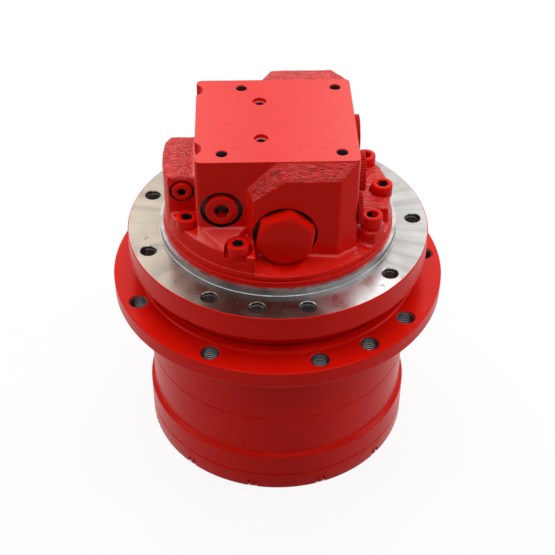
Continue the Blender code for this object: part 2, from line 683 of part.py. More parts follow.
def make_hub():
    """The turning drum: sprocket flange, bearing seats and ring gear in one forging."""
    bearing_r = flats(BEARING_OUTER_R + RUN, FACETS_LARGE)
    relief_r = RING_ROOT_R + FREE
    teeth_top = CARRIER_2_Z + FREE
    relief_top = teeth_top + 5 * MM
    profile = [
        (HUB_LIP_R, HUB_LIP_Z),
        (HUB_LIP_R, SPROCKET_TOP_Z),
        (SPROCKET_FLANGE_R - EDGE_CHAMFER, SPROCKET_TOP_Z),
        (SPROCKET_FLANGE_R, SPROCKET_TOP_Z - EDGE_CHAMFER),
        (SPROCKET_FLANGE_R, SPROCKET_BOTTOM_Z),
        (HUB_BARREL_R + HUB_FILLET, SPROCKET_BOTTOM_Z),
        (HUB_BARREL_R, SPROCKET_BOTTOM_Z - HUB_FILLET),
        (HUB_BARREL_R, HUB_Z + HUB_FOOT_H + HUB_FOOT_CHAMFER),
        (HUB_FOOT_R, HUB_Z + HUB_FOOT_H),
        (HUB_FOOT_R, HUB_Z),
        (RING_TIP_R - FREE, HUB_Z),
        (RING_TIP_R - FREE, teeth_top),
        (relief_r, teeth_top),
        (relief_r, relief_top),
        (bearing_r, relief_top),
        (bearing_r, BEARING_LAND_Z),
        (BEARING_LAND_R, BEARING_LAND_Z),
        (BEARING_LAND_R, BEARING_LAND_Z + BEARING_LAND),
        (bearing_r, BEARING_LAND_Z + BEARING_LAND),
        (bearing_r, SHOULDER_Z),
        (SEAL_OUTER_R + FREE, SHOULDER_Z),
        (SEAL_OUTER_R + FREE, SPROCKET_TOP_Z - HUB_RECESS + HUB_LIP_H),
        (HUB_LIP_BORE_R, SPROCKET_TOP_Z - HUB_RECESS + HUB_LIP_H),
        (HUB_LIP_BORE_R, HUB_LIP_Z),
    ]
    hub = turned("hub", profile, RED_PAINT)
    teeth = plate("ring_gear_cutter", [ring_outline()], HUB_Z - FREE, teeth_top + FREE)
    holes = []
    for angle in flange_hole_angles(SPROCKET_PHASE, SPROCKET_EXTRA_HOLE):
        foot = polar(SPROCKET_PITCH_R, angle)
        holes.append(bar("sprocket_hole", SPROCKET_HOLE_R, foot + Vector((0, 0, SPROCKET_BOTTOM_Z - FREE)),
                         foot + Vector((0, 0, SPROCKET_TOP_Z + FREE)), facets=FACETS_TINY))
    cut(hub, teeth, merged("sprocket_holes", holes))


def flange_hole_angles(phase, extra):
    """Nine holes in even steps, with one more between two of them."""
    return [phase + 2 * pi * i / FLANGE_HOLES for i in range(FLANGE_HOLES)] + [extra]


def make_cover():
    """End cover of the gearbox, with pockets for its screws in the rim."""
    floor_z = COVER_DISH_H + COVER_WALL
    spigot_r = RING_TIP_R - 1.5 * FREE
    profile = [
        (0.0, STAGE_1_Z - FREE),
        (COVER_THRUST_R, STAGE_1_Z - FREE),
        (COVER_THRUST_R, floor_z),
        (spigot_r - 6 * MM, floor_z),
        (spigot_r - 4 * MM, COVER_H + COVER_SPIGOT_H),
        (spigot_r, COVER_H + COVER_SPIGOT_H),
        (spigot_r, COVER_H),
        (COVER_R, COVER_H),
        (COVER_R, COVER_EDGE_H),
        (COVER_FOOT_R, 0.0),
        (COVER_DISH_R, 0.0),
        (COVER_DISH_R - COVER_DISH_H, COVER_DISH_H),
        (0.0, COVER_DISH_H),
    ]
    cover = turned("gearbox_cover", profile, RED_PAINT)
    pockets = []
    for i in range(COVER_POCKETS):
        foot = polar(COVER_POCKET_PITCH_R, COVER_POCKET_PHASE + 2 * pi * i / COVER_POCKETS)
        pockets.append(bar("cover_pocket", COVER_POCKET_R, foot - Vector((0, 0, FREE)),
                           foot + Vector((0, 0, COVER_POCKET_DEPTH)), facets=FACETS_TINY))
    bores = []
    for number, angle in enumerate(OIL_PLUG_ANGLES, 1):
        foot = polar(OIL_PLUG_PITCH_R, angle)
        bottom = COVER_DISH_H + OIL_PLUG_RECESS
        bores.append(bar("oil_plug_bore", flats(OIL_PLUG_R + FIT, FACETS_SMALL), foot,
                         foot + Vector((0, 0, floor_z + FREE))))
        socket_plug(f"oil_plug_{number}", foot + Vector((0, 0, bottom)), Vector((0, 0, 1)),
                    OIL_PLUG_R, 0.0, OIL_PLUG_R, floor_z - bottom, OIL_PLUG_KEY)
    cut(cover, merged("cover_pockets", pockets), merged("oil_plug_bores", bores))


def ring(name, inner_r, outer_r, bottom, top, paint, facets=FACETS_LARGE, relief=0.0):
    """A ring with flats inside; relief chamfers the outer edges of its two faces."""
    inner = flats(inner_r, facets)
    profile = [(outer_r - relief, top), (outer_r, top - relief), (outer_r, bottom + relief),
               (outer_r - relief, bottom), (inner, bottom), (inner, top)]
    if not relief:
        profile = [(outer_r, top), (outer_r, bottom), (inner, bottom), (inner, top)]
    return turned(name, profile, paint, facets)


def main_bearing(name, bottom):
    """Inner race, ball row and outer race, drawn as one ring with the race gaps as grooves."""
    inner = flats(SPINDLE_R + FIT, FACETS_MEDIUM)
    middle = (SPINDLE_R + BEARING_OUTER_R) / 2
    top = bottom + BEARING_W
    gap = 2.5 * MM
    profile = [
        (BEARING_OUTER_R, top),
        (BEARING_OUTER_R, bottom),
        (middle + gap, bottom),
        (middle, bottom + 2 * gap),
        (middle - gap, bottom),
        (inner, bottom),
        (inner, top),
        (middle - gap, top),
        (middle, top - 2 * gap),
        (middle + gap, top),
    ]
    turned(name, profile, BEARING_STEEL, FACETS_MEDIUM)


def make_bearings_and_seal():
    main_bearing("main_bearing_lower", LOWER_BEARING_Z)
    main_bearing("main_bearing_upper", UPPER_BEARING_Z)
    nut = ring("bearing_nut", SPINDLE_THREAD_R + FIT, NUT_R, NUT_Z, NUT_Z + NUT_T, FORGED_STEEL,
               FACETS_MEDIUM, relief=FREE)
    notches = [box("nut_notch", (NUT_R - 4 * MM, -4 * MM, NUT_Z - FREE),
                   (NUT_R + FREE, 4 * MM, NUT_Z + 5 * MM))
               for _ in range(4)]
    for i, notch in enumerate(notches):
        notch.rotation_euler = (0, 0, i * pi / 2)
    cut(nut, merged("nut_notches", notches))
    taper = 3.0 * MM
    turned("seal_ring_rotating", [
        (SEAL_OUTER_R - taper, SEAL_FACE_Z - SEAT / 2),
        (SEAL_OUTER_R, SHOULDER_Z + SEAT),
        (SEAL_INNER_R, SHOULDER_Z + SEAT),
        (SEAL_INNER_R, SEAL_FACE_Z - SEAT / 2),
    ], SEAL_IRON, FACETS_MEDIUM)
    turned("seal_ring_fixed", [
        (SEAL_OUTER_R, SEAL_ROOF_Z - SEAT),
        (SEAL_OUTER_R - taper, SEAL_FACE_Z + SEAT / 2),
        (SEAL_INNER_R, SEAL_FACE_Z + SEAT / 2),
        (SEAL_INNER_R, SEAL_ROOF_Z - SEAT),
    ], SEAL_IRON, FACETS_MEDIUM)


# Motor housing and what it holds

def make_housing():
    """The fixed spindle: frame flange, seal skirt, bearing seats and splined nose."""
    skirt_z = SPROCKET_TOP_Z - HUB_RECESS + HUB_LIP_H + FREE
    profile = [
        (0.0, JOINT_Z),
        (JOINT_R, JOINT_Z),
        (PILOT_NECK_R, JOINT_Z - FREE),
        (PILOT_NECK_R, FRAME_TOP_Z + PILOT_H),
        (PILOT_R, FRAME_TOP_Z + PILOT_H - EDGE_CHAMFER),
        (PILOT_R, FRAME_TOP_Z),
        (FRAME_FLANGE_R - EDGE_CHAMFER, FRAME_TOP_Z),
        (FRAME_FLANGE_R, FRAME_TOP_Z - EDGE_CHAMFER),
        (FRAME_FLANGE_R, FRAME_BOTTOM_Z),
        (HOUSING_SKIRT_R, FRAME_BOTTOM_Z),
        (HOUSING_SKIRT_R, skirt_z),
        (SEAL_OUTER_R + FREE, skirt_z),
        (SEAL_OUTER_R + FREE, SEAL_ROOF_Z),
        (SPINDLE_SHOULDER_R, SEAL_ROOF_Z),
        (SPINDLE_SHOULDER_R, SHOULDER_Z),
        (SPINDLE_R, SHOULDER_Z),
        (SPINDLE_R, LOWER_BEARING_Z),
        (SPINDLE_THREAD_R, LOWER_BEARING_Z),
        (SPINDLE_THREAD_R, SPINDLE_END_Z),
        (0.0, SPINDLE_END_Z),
    ]
    housing = turned("motor_housing", profile, FLANGE_STEEL)
    nose = plate("housing_nose", [spline_outline(NOSE_SPLINES, SPINDLE_NOSE_R, SPLINE_DEPTH)],
                 CARRIER_2_Z, SPINDLE_END_Z + FREE)
    join(housing, nose)
    over = JOINT_Z + FREE
    cavity = turned("motor_cavity", [
        (0.0, over),
        (BRAKE_STEP_R, over),
        (BRAKE_STEP_R, BRAKE_STEP_Z - BRAKE_BOTTOM_GAP),
        (BRAKE_BORE_R, BRAKE_STEP_Z - BRAKE_BOTTOM_GAP),
        (BRAKE_BORE_R, BRAKE_FLOOR_Z),
        (CAVITY_R, BRAKE_FLOOR_Z),
        (CAVITY_R, CAVITY_Z),
        (0.0, CAVITY_Z),
    ], facets=FACETS_MEDIUM)
    bearing_floor = CAVITY_Z - FRONT_BEARING_W - SEAT - 2 * FREE
    seal_floor = bearing_floor - SHAFT_SEAL_W - SEAT
    shaft_bore = turned("shaft_bore", [
        (0.0, CAVITY_Z + FREE),
        (flats(FRONT_BEARING_R + FIT, FACETS_MEDIUM), CAVITY_Z + FREE),
        (flats(FRONT_BEARING_R + FIT, FACETS_MEDIUM), bearing_floor),
        (flats(SHAFT_SEAL_R + FIT, FACETS_MEDIUM), bearing_floor),
        (flats(SHAFT_SEAL_R + FIT, FACETS_MEDIUM), seal_floor),
        (SHAFT_JOURNAL_R + 2 * FREE, seal_floor),
        (SHAFT_JOURNAL_R + 2 * FREE, CARRIER_2_Z - FREE),
        (0.0, CARRIER_2_Z - FREE),
    ], facets=FACETS_MEDIUM)
    holes = []
    for angle in flange_hole_angles(0.0, FRAME_EXTRA_HOLE):
        foot = polar(FRAME_PITCH_R, angle)
        holes.append(bar("frame_hole", FRAME_HOLE_R, foot + Vector((0, 0, FRAME_BOTTOM_Z - FREE)),
                         foot + Vector((0, 0, FRAME_TOP_Z + FREE)), facets=FACETS_TINY))
    for angle in BOLT_ANGLES:
        foot = polar(BOLT_PITCH_R, angle)
        holes.append(bar("bolt_thread", flats(BOLT_R + FIT, FACETS_TINY),
                         foot + Vector((0, 0, JOINT_Z - BOLT_THREAD_DEPTH - FREE)),
                         foot + Vector((0, 0, over)), facets=FACETS_TINY))
    cut(housing, cavity, shaft_bore, merged("housing_holes", holes))
    make_cradle(housing)
    ring("shaft_bearing_front", SHAFT_JOURNAL_R + RUN, FRONT_BEARING_R, bearing_floor + SEAT,
         bearing_floor + SEAT + FRONT_BEARING_W, BEARING_STEEL, FACETS_MEDIUM)
    ring("shaft_seal", SHAFT_JOURNAL_R + RUN, SHAFT_SEAL_R, seal_floor + SEAT,
         seal_floor + SHAFT_SEAL_W, BLACK_RUBBER, FACETS_MEDIUM)


def make_cradle(housing):
    """Two blocks on the cavity floor with the round seats of the swash plate."""
    blocks = []
    for side in (-1, 1):
        x = sorted(side * edge for edge in CRADLE_X)
        blocks.append(box("cradle_block", (x[0], -CRADLE_HALF_Y, CAVITY_Z - FREE),
                          (x[1], CRADLE_HALF_Y, CAVITY_Z + CRADLE_H)))
    seat = bar("cradle_seat", flats(SWASH_JOURNAL_R + FIT, FACETS_MEDIUM),
               (-CRADLE_X[1] - FREE, 0, SWASH_AXIS_Z), (CRADLE_X[1] + FREE, 0, SWASH_AXIS_Z),
               facets=FACETS_MEDIUM)
    cradle = merged("cradle_blocks", blocks)
    cut(cradle, seat)
    join(housing, cradle)


def make_swash_plate():
    """Shown square to the shaft, on the two half-round journals that it tilts on."""
    plate_bottom = SWASH_FACE_Z - SWASH_T
    made = turned("swash_plate", [
        (SWASH_R, SWASH_FACE_Z),
        (SWASH_R, plate_bottom),
        (SWASH_BORE_R, plate_bottom),
        (SWASH_BORE_R, SWASH_FACE_Z),
    ], FORGED_STEEL, FACETS_MEDIUM)
    for side in (-1, 1):
        ends = [Vector((side * edge, 0, SWASH_AXIS_Z)) for edge in CRADLE_X]
        journal = bar(f"swash_journal_{side + 1}", SWASH_JOURNAL_R, ends[0], ends[1], facets=FACETS_MEDIUM)
        top = box(f"swash_journal_top_{side + 1}", (-SWASH_R, -SWASH_R, SWASH_FACE_Z - FREE),
                  (SWASH_R, SWASH_R, SWASH_FACE_Z + SWASH_R))
        cut(journal, top)
        join(made, journal)


def make_shaft():
    """One shaft from the rear bearing to the first sun gear, with two splined stretches."""
    top = VALVE_Z + REAR_BEARING_W
    spline_bottom = BLOCK_Z + FREE
    spline_top = BLOCK_Z + BLOCK_H - 6 * FREE
    journal_top = CAVITY_Z + CRADLE_H
    core_r = SHAFT_SPLINE_R - 1.2 * SPLINE_DEPTH
    tip_core_r = SHAFT_TIP_R - 1.4 * TIP_SPLINE_DEPTH
    shaft = turned("drive_shaft", [
        (0.0, top),
        (SHAFT_TOP_R, top),
        (SHAFT_TOP_R, spline_top),
        (core_r, spline_top),
        (core_r, journal_top),
        (SHAFT_JOURNAL_R, journal_top),
        (SHAFT_JOURNAL_R, CARRIER_2_Z),
        (SHAFT_R, CARRIER_2_Z - FREE),
        (SHAFT_R, CARRIER_1_Z),
        (tip_core_r, CARRIER_1_Z),
        (tip_core_r, STAGE_1_Z - FREE + SEAT),
        (0.0, STAGE_1_Z - FREE + SEAT),
    ], FORGED_STEEL, FACETS_MEDIUM)
    block_spline = plate("shaft_spline", [spline_outline(SHAFT_SPLINES, SHAFT_SPLINE_R, SPLINE_DEPTH + FIT)],
                         spline_bottom, spline_top - FREE)
    tip_spline = plate("shaft_tip_spline",
                       [spline_outline(TIP_SPLINES, SHAFT_TIP_R, TIP_SPLINE_DEPTH + FIT)],
                       STAGE_1_Z, CARRIER_1_Z + FREE)
    join(shaft, block_spline, tip_spline)


def make_rotating_group():
    """Cylinder block, pistons with their slippers, and the plate that holds these down."""
    block = turned("cylinder_block", [
        (0.0, BLOCK_Z + BLOCK_H),
        (BLOCK_R - FREE, BLOCK_Z + BLOCK_H),
        (BLOCK_R, BLOCK_Z + BLOCK_H - FREE),
        (BLOCK_R, BLOCK_Z),
        (BLOCK_NOSE_R, BLOCK_Z),
        (BLOCK_NOSE_R, BLOCK_Z - BLOCK_NOSE_H),
        (0.0, BLOCK_Z - BLOCK_NOSE_H),
    ], BRONZE_STEEL, FACETS_MEDIUM)
    bores = []
    for i in range(PISTONS):
        foot = polar(PISTON_PITCH_R, 2 * pi * i / PISTONS)
        roof = BLOCK_Z + PISTON_ENGAGEMENT + 6 * FREE
        bores.append(turned("piston_bore", [
            (0.0, BLOCK_Z + BLOCK_H + FREE),
            (PISTON_R / 2, BLOCK_Z + BLOCK_H + FREE),
            (PISTON_R / 2, roof),
            (flats(PISTON_R + RUN, FACETS_TINY), roof),
            (flats(PISTON_R + RUN, FACETS_TINY), BLOCK_Z - FREE),
            (0.0, BLOCK_Z - FREE),
        ], facets=FACETS_TINY, origin=foot))
    shaft_spline = plate("block_spline", [spline_outline(SHAFT_SPLINES, SHAFT_SPLINE_R + FIT, SPLINE_DEPTH)],
                         BLOCK_Z - BLOCK_NOSE_H - FREE, BLOCK_Z + BLOCK_H + FREE)
    cut(block, merged("piston_bores", bores), shaft_spline)
    foot_z = SWASH_FACE_Z + SEAT
    neck_top = foot_z + SLIPPER_T + 3 * SEAT + RETAINER_T + FREE
    for i in range(PISTONS):
        turned(f"piston_{i + 1}", [
            (0.0, BLOCK_Z + PISTON_ENGAGEMENT),
            (PISTON_R - FREE, BLOCK_Z + PISTON_ENGAGEMENT),
            (PISTON_R, BLOCK_Z + PISTON_ENGAGEMENT - FREE),
            (PISTON_R, neck_top + 2 * FREE),
            (PISTON_NECK_R, neck_top),
            (PISTON_NECK_R, foot_z + SLIPPER_T),
            (SLIPPER_R, foot_z + SLIPPER_T),
            (SLIPPER_R, foot_z),
            (0.0, foot_z),
        ], GEAR_STEEL, FACETS_TINY, origin=polar(PISTON_PITCH_R, 2 * pi * i / PISTONS))
    holes = [circle(flats(PISTON_NECK_R + SEAT, FACETS_TINY), FACETS_TINY,
                    polar(PISTON_PITCH_R, 2 * pi * i / PISTONS)[:2]) for i in range(PISTONS)]
    centre = circle(flats(BLOCK_NOSE_R + FIT, FACETS_MEDIUM), FACETS_MEDIUM)
    retainer_z = foot_z + SLIPPER_T + SEAT
    plate("retainer_plate", [circle(RETAINER_R, FACETS_MEDIUM), centre] + holes,
          retainer_z, retainer_z + RETAINER_T, FORGED_STEEL)
    kidneys = [kidney(PISTON_PITCH_R, PISTON_R / 2, middle, radians(62)) for middle in (pi / 2, -pi / 2)]
    plate("valve_plate", [circle(VALVE_PLATE_R, FACETS_MEDIUM), circle(VALVE_PLATE_BORE_R, FACETS_SMALL)]
          + kidneys, VALVE_PLATE_Z, VALVE_PLATE_Z + VALVE_PLATE_T, BRONZE_STEEL)


def make_brake():
    """Spring-applied brake around the cylinder block."""
    outer = BRAKE_BORE_R - 2 * FIT
    inner = BLOCK_R + 2 * FREE
    for number, bottom in ((1, SEPARATOR_1_Z), (2, SEPARATOR_2_Z)):
        ring(f"brake_separator_{number}", inner, outer, bottom, bottom + BRAKE_PLATE_T, FORGED_STEEL,
             FACETS_MEDIUM)
    ring("brake_friction_disc", BLOCK_R + FIT, outer - FREE, FRICTION_Z, FRICTION_Z + BRAKE_PLATE_T,
         FRICTION_LINING, FACETS_MEDIUM)
    turned("brake_piston", [
        (BRAKE_STEP_R - 2 * FIT, BRAKE_PISTON_TOP_Z),
        (BRAKE_STEP_R - 2 * FIT, BRAKE_STEP_Z),
        (BRAKE_BORE_R - 2 * FIT, BRAKE_STEP_Z),
        (BRAKE_BORE_R - 2 * FIT, BRAKE_PISTON_Z),
        (inner, BRAKE_PISTON_Z),
        (inner, BRAKE_PISTON_TOP_Z),
    ], FORGED_STEEL, FACETS_MEDIUM)
    low = BRAKE_PISTON_TOP_Z + SEAT
    high = VALVE_Z - SEAT
    turned("brake_disc_spring", [
        (inner + BRAKE_SPRING_T, high),
        (BRAKE_STEP_R - FREE, low + BRAKE_SPRING_T),
        (BRAKE_STEP_R - FREE, low),
        (inner, high - BRAKE_SPRING_T),
        (inner, high),
    ], SPRING_STEEL, FACETS_MEDIUM)


# Valve body

def at_joint(x, y, height):
    return Vector((x, y, JOINT_Z + height))


def boss(name, face_y, corners, root_y, root_top):
    """A cast boss, from its face to the wider outline where it leaves the block."""
    base = RIM_H / 2
    side = BLOCK_X[1] - FREE / 2
    face = ((corners[0][0], base), *corners, (corners[-1][0], base))
    root = ((BOSS_LEFT_X, base), (BOSS_LEFT_X, BOSS_SHOULDER_H), (BOSS_SLOPE_X, root_top),
            (side, root_top), (side, base))
    sections = ((face_y, face), (root_y, root))
    return hull(name, [at_joint(x, y, h) for y, outline in sections for x, h in outline])


def make_valve_body():
    deck = turned("valve_body", [
        (0.0, JOINT_Z + DECK_H),
        (DECK_R, JOINT_Z + DECK_H),
        (RIM_R, JOINT_Z + RIM_H),
        (JOINT_R, VALVE_Z),
        (0.0, VALVE_Z),
    ], RED_PAINT)
    join(deck, make_plateaus(), make_apron(), *make_bosses())
    cut(deck, *valve_body_cutters())


def make_plateaus():
    """Raised lands under the screws, left and right of the block."""
    land = bar("plateaus", PLATEAU_FOOT_R, at_joint(0, 0, RIM_H / 2), at_joint(0, 0, PLATEAU_H),
               facets=FACETS_LARGE, end_radius=PLATEAU_R)
    reach = JOINT_R + FREE
    right_x = BLOCK_X[1] - 2 * FREE
    middle = box("plateau_middle", at_joint(PLATEAU_LEFT_X, -reach, 0),
                 at_joint(right_x, reach, 2 * PLATEAU_H))
    front = box("plateau_front", at_joint(right_x - FREE, -reach, 0),
                at_joint(reach, PLATEAU_RIGHT_Y[0], 2 * PLATEAU_H))
    back = box("plateau_back", at_joint(right_x - FREE, PLATEAU_RIGHT_Y[1], 0),
               at_joint(reach, reach, 2 * PLATEAU_H))
    cut(land, middle, front, back)
    return land


def make_apron():
    """The slope from the foot of the block out to the front left land."""
    foot = RIM_H / 2
    rim = [polar(PLATEAU_R - FREE, angle) for angle in APRON_ANGLES]
    root = [Vector((x, FREE - BLOCK_Y, 0)) for x in (BLOCK_X[0], BOSS_LEFT_X)]
    points = [p + at_joint(0, 0, h) for p in rim for h in (foot, PLATEAU_H)]
    points += [p + at_joint(0, 0, h) for p in root for h in (foot, APRON_H)]
    return hull("front_apron", points)


def make_bosses():
    base = RIM_H / 2
    block = plate("port_block", [rounded_box((BLOCK_X[0], -BLOCK_Y), (BLOCK_X[1], BLOCK_Y), BLOCK_CORNER_R)],
                  JOINT_Z + base, JOINT_Z + BLOCK_TOP)
    front = boss("front_boss", FRONT_BOSS_Y, FRONT_BOSS_CORNERS, FREE / 2 - BLOCK_Y, BLOCK_TOP - FREE)
    back = boss("back_boss", REAR_BOSS_Y, REAR_BOSS_CORNERS, BLOCK_Y - FREE / 2, BLOCK_TOP - 2 * FREE)
    low, high = -EAR_HALF_Y, EAR_HALF_Y
    ear_x = BLOCK_X[0] + 2 * FREE
    ear = plate("selector_ear", [[
        (ear_x, low), (ear_x, high), (EAR_X + 5 * MM, high), (EAR_X + 1.2 * MM, high - 8 * MM),
        (EAR_X, 6 * MM), (EAR_X, -6 * MM), (EAR_X + 1.2 * MM, low + 8 * MM), (EAR_X + 5 * MM, low),
    ]], JOINT_Z + base, JOINT_Z + EAR_TOP)
    lug_foot = polar(BOLT_PITCH_R, BOLT_ANGLES[-1])
    lug = bar("bolt_lug", BOLT_LUG_R, lug_foot + at_joint(0, 0, base),
              lug_foot + at_joint(0, 0, BOLT_SEAT_H), facets=FACETS_SMALL)
    return block, front, back, ear, lug


def valve_body_cutters():
    """Every bore, port, spot face and screw hole of the valve body."""
    spool_end = SPOOL_HALF + SPOOL_CHAMBER
    spool_bore = bar("spool_bore", flats(SPOOL_R + RUN, FACETS_SMALL),
                     at_joint(SPOOL_X, -spool_end - FREE, SPOOL_H),
                     at_joint(SPOOL_X, spool_end + FREE, SPOOL_H))
    cutters = [spool_bore]
    for tag, face in (("front", FRONT_BOSS_Y), ("back", REAR_BOSS_Y)):
        away = 1 if face > 0 else -1
        seat = face - away * SPOTFACE_DEPTH
        cutters.append(bar(f"plug_bore_{tag}", flats(HEX_PLUG_SHANK_R + FIT, FACETS_MEDIUM),
                           at_joint(SPOOL_X, away * spool_end, SPOOL_H),
                           at_joint(SPOOL_X, face + away * FREE, SPOOL_H), facets=FACETS_MEDIUM))
        cutters.append(bar(f"spotface_{tag}", SPOTFACE_R, at_joint(SPOOL_X, seat, SPOOL_H),
                           at_joint(SPOOL_X, away * 2 * JOINT_R, SPOOL_H), facets=FACETS_MEDIUM))
    side = BLOCK_X[1]
    ports = []
    for y in (-PORT_Y, PORT_Y):
        ports.append(bar("main_port", flats(PORT_R + FIT, FACETS_SMALL),
                         at_joint(side - PORT_DEPTH, y, PORT_AXIS_H), at_joint(side + FREE, y, PORT_AXIS_H)))
    ports.append(bar("drain_port", flats(DRAIN_R + FIT, FACETS_SMALL),
                     at_joint(side - DRAIN_DEPTH, DRAIN_Y, DRAIN_H),
                     at_joint(side + FREE, DRAIN_Y, DRAIN_H)))
    cutters.append(merged("ports", ports))
    galleries = [bar("gallery", GALLERY_R, at_joint(GALLERY_X, y, -FREE),
                     at_joint(GALLERY_X, y, PORT_AXIS_H), facets=FACETS_TINY) for y in (-PORT_Y, PORT_Y)]
    cutters.append(merged("galleries", galleries))
    cutters.append(bar("rear_bearing_bore", flats(REAR_BEARING_R + FIT, FACETS_MEDIUM),
                       at_joint(0, 0, -FREE), at_joint(0, 0, SEAT + REAR_BEARING_W + 2 * SEAT),
                       facets=FACETS_MEDIUM))
    pockets = []
    shanks = []
    for angle in BOLT_ANGLES:
        foot = polar(BOLT_PITCH_R, angle)
        pockets.append(bar("bolt_pocket", BOLT_POCKET_R, foot + at_joint(0, 0, BOLT_SEAT_H),
                           foot + at_joint(0, 0, BLOCK_TOP + FREE)))
        shanks.append(bar("bolt_hole", BOLT_HOLE_R, foot + at_joint(0, 0, -FREE),
                          foot + at_joint(0, 0, BOLT_SEAT_H + FREE), facets=FACETS_TINY))
    cutters.append(merged("bolt_pockets", pockets))
    cutters.append(merged("bolt_holes", shanks))
    cutters.append(merged("pad_holes", pad_hole_cutters()))
    cutters.extend(plug_cutters("gallery_plug", GALLERY_PLUG_X, -BLOCK_Y, GALLERY_PLUG_H,
                                GALLERY_PLUG_SEAT_R, GALLERY_PLUG_THREAD_R, SOCKET_PLUG_LENGTH + 6 * FREE))
    selector_end = SOCKET_PLUG_LENGTH + SELECTOR_LENGTH + SELECTOR_CHAMBER
    cutters.extend(plug_cutters("ear_plug", EAR_PLUG_X, -EAR_HALF_Y, EAR_PLUG_H, EAR_PLUG_SEAT_R,
                                EAR_PLUG_THREAD_R, SOCKET_PLUG_LENGTH))
    selector_floor_y = -EAR_HALF_Y + SOCKET_PLUG_SEAT_DEPTH + selector_end
    cutters.append(bar("selector_bore", flats(SELECTOR_R + RUN, FACETS_SMALL),
                       at_joint(EAR_PLUG_X, -EAR_HALF_Y, EAR_PLUG_H),
                       at_joint(EAR_PLUG_X, selector_floor_y, EAR_PLUG_H)))
    return cutters


def pad_hole_cutters():
    top = BLOCK_TOP + FREE
    holes = [bar("pad_hole", PAD_HOLE_R, at_joint(x * MM, y * MM, BLOCK_TOP - PAD_HOLE_DEPTH),
                 at_joint(x * MM, y * MM, top), facets=FACETS_TINY) for x, y in PAD_HOLES]
    for x, y in PAD_PORTS:
        seat = BLOCK_TOP - PAD_PORT_SEAT_DEPTH
        holes.append(turned("pad_port", [
            (0.0, JOINT_Z + top),
            (PAD_PORT_SEAT_R, JOINT_Z + top),
            (PAD_PORT_SEAT_R, JOINT_Z + seat),
            (PAD_PORT_R, JOINT_Z + seat),
            (PAD_PORT_R, JOINT_Z + BLOCK_TOP - PAD_PORT_DEPTH),
            (0.0, JOINT_Z + BLOCK_TOP - PAD_PORT_DEPTH),
        ], facets=FACETS_TINY, origin=(x * MM, y * MM, 0)))
    return holes


def plug_cutters(name, x, face, height, seat_r, thread_r, depth):
    """Spot face and threaded bore of a plug whose axis runs along Y."""
    seat = face + SOCKET_PLUG_SEAT_DEPTH
    return (bar(f"{name}_seat", seat_r, at_joint(x, face - seat_r, height), at_joint(x, seat, height),
                facets=FACETS_MEDIUM),
            bar(f"{name}_bore", flats(thread_r + FIT, FACETS_SMALL), at_joint(x, face, height),
                at_joint(x, seat + depth, height)))


# Plugs, caps, screws and spools

def hex_cutter(name, key, start, end):
    """A hexagonal bar, given by its size across the flats."""
    return bar(name, flats(key / 2, 6), start, end, facets=6)


def socket_plug(name, seat, inward, head_r, head_h, thread_r, length, key):
    """A plug with a hexagon socket: head outside its seat, thread inside."""
    if head_h:
        made = bar(name, head_r, seat - inward * head_h, seat - inward * SEAT, RED_PAINT, FACETS_MEDIUM)
        thread = bar(f"{name}_thread", thread_r, seat - inward * FREE, seat + inward * length)
        join(made, thread)
    else:
        made = bar(name, thread_r, seat, seat + inward * length, RED_PAINT)
    outer = seat - inward * head_h
    cut(made, hex_cutter(f"{name}_socket", key, outer - inward * FREE, outer + inward * (head_h + 3 * FREE)))
    return made


def make_bolts():
    """Socket head screws that hold the valve body on the housing."""
    for number, angle in enumerate(BOLT_ANGLES, 1):
        foot = polar(BOLT_PITCH_R, angle)
        seat = foot + at_joint(0, 0, BOLT_SEAT_H + SEAT)
        top = seat + Vector((0, 0, BOLT_HEAD_H))
        made = bar(f"valve_body_screw_{number}", BOLT_HEAD_R, seat, top, RED_PAINT, FACETS_SMALL)
        shank = bar(f"screw_shank_{number}", BOLT_R, foot + at_joint(0, 0, -BOLT_THREAD_DEPTH),
                    seat + Vector((0, 0, FREE)), facets=FACETS_TINY)
        join(made, shank)
        cut(made, hex_cutter(f"screw_socket_{number}", BOLT_KEY, top - Vector((0, 0, BOLT_HEAD_H / 2)),
                             top + Vector((0, 0, FREE))))


def make_hex_plugs():
    """Hexagon plugs that close the two ends of the counterbalance valve."""
    for tag, face in (("front", FRONT_BOSS_Y), ("back", REAR_BOSS_Y)):
        away = 1 if face > 0 else -1
        seat = face - away * (SPOTFACE_DEPTH - SEAT)
        inner = away * (SPOOL_HALF + SPOOL_CHAMBER + SEAT)
        out = seat + away * HEX_PLUG_HEAD_H
        made = bar(f"counterbalance_plug_{tag}", flats(HEX_PLUG_KEY / 2, 6),
                   at_joint(SPOOL_X, seat, SPOOL_H), at_joint(SPOOL_X, out, SPOOL_H), RED_PAINT,
                   facets=6, spin=pi / 6)
        shank = bar(f"plug_shank_{tag}", HEX_PLUG_SHANK_R, at_joint(SPOOL_X, inner, SPOOL_H),
                    at_joint(SPOOL_X, seat + away * FREE, SPOOL_H), facets=FACETS_MEDIUM)
        join(made, shank)


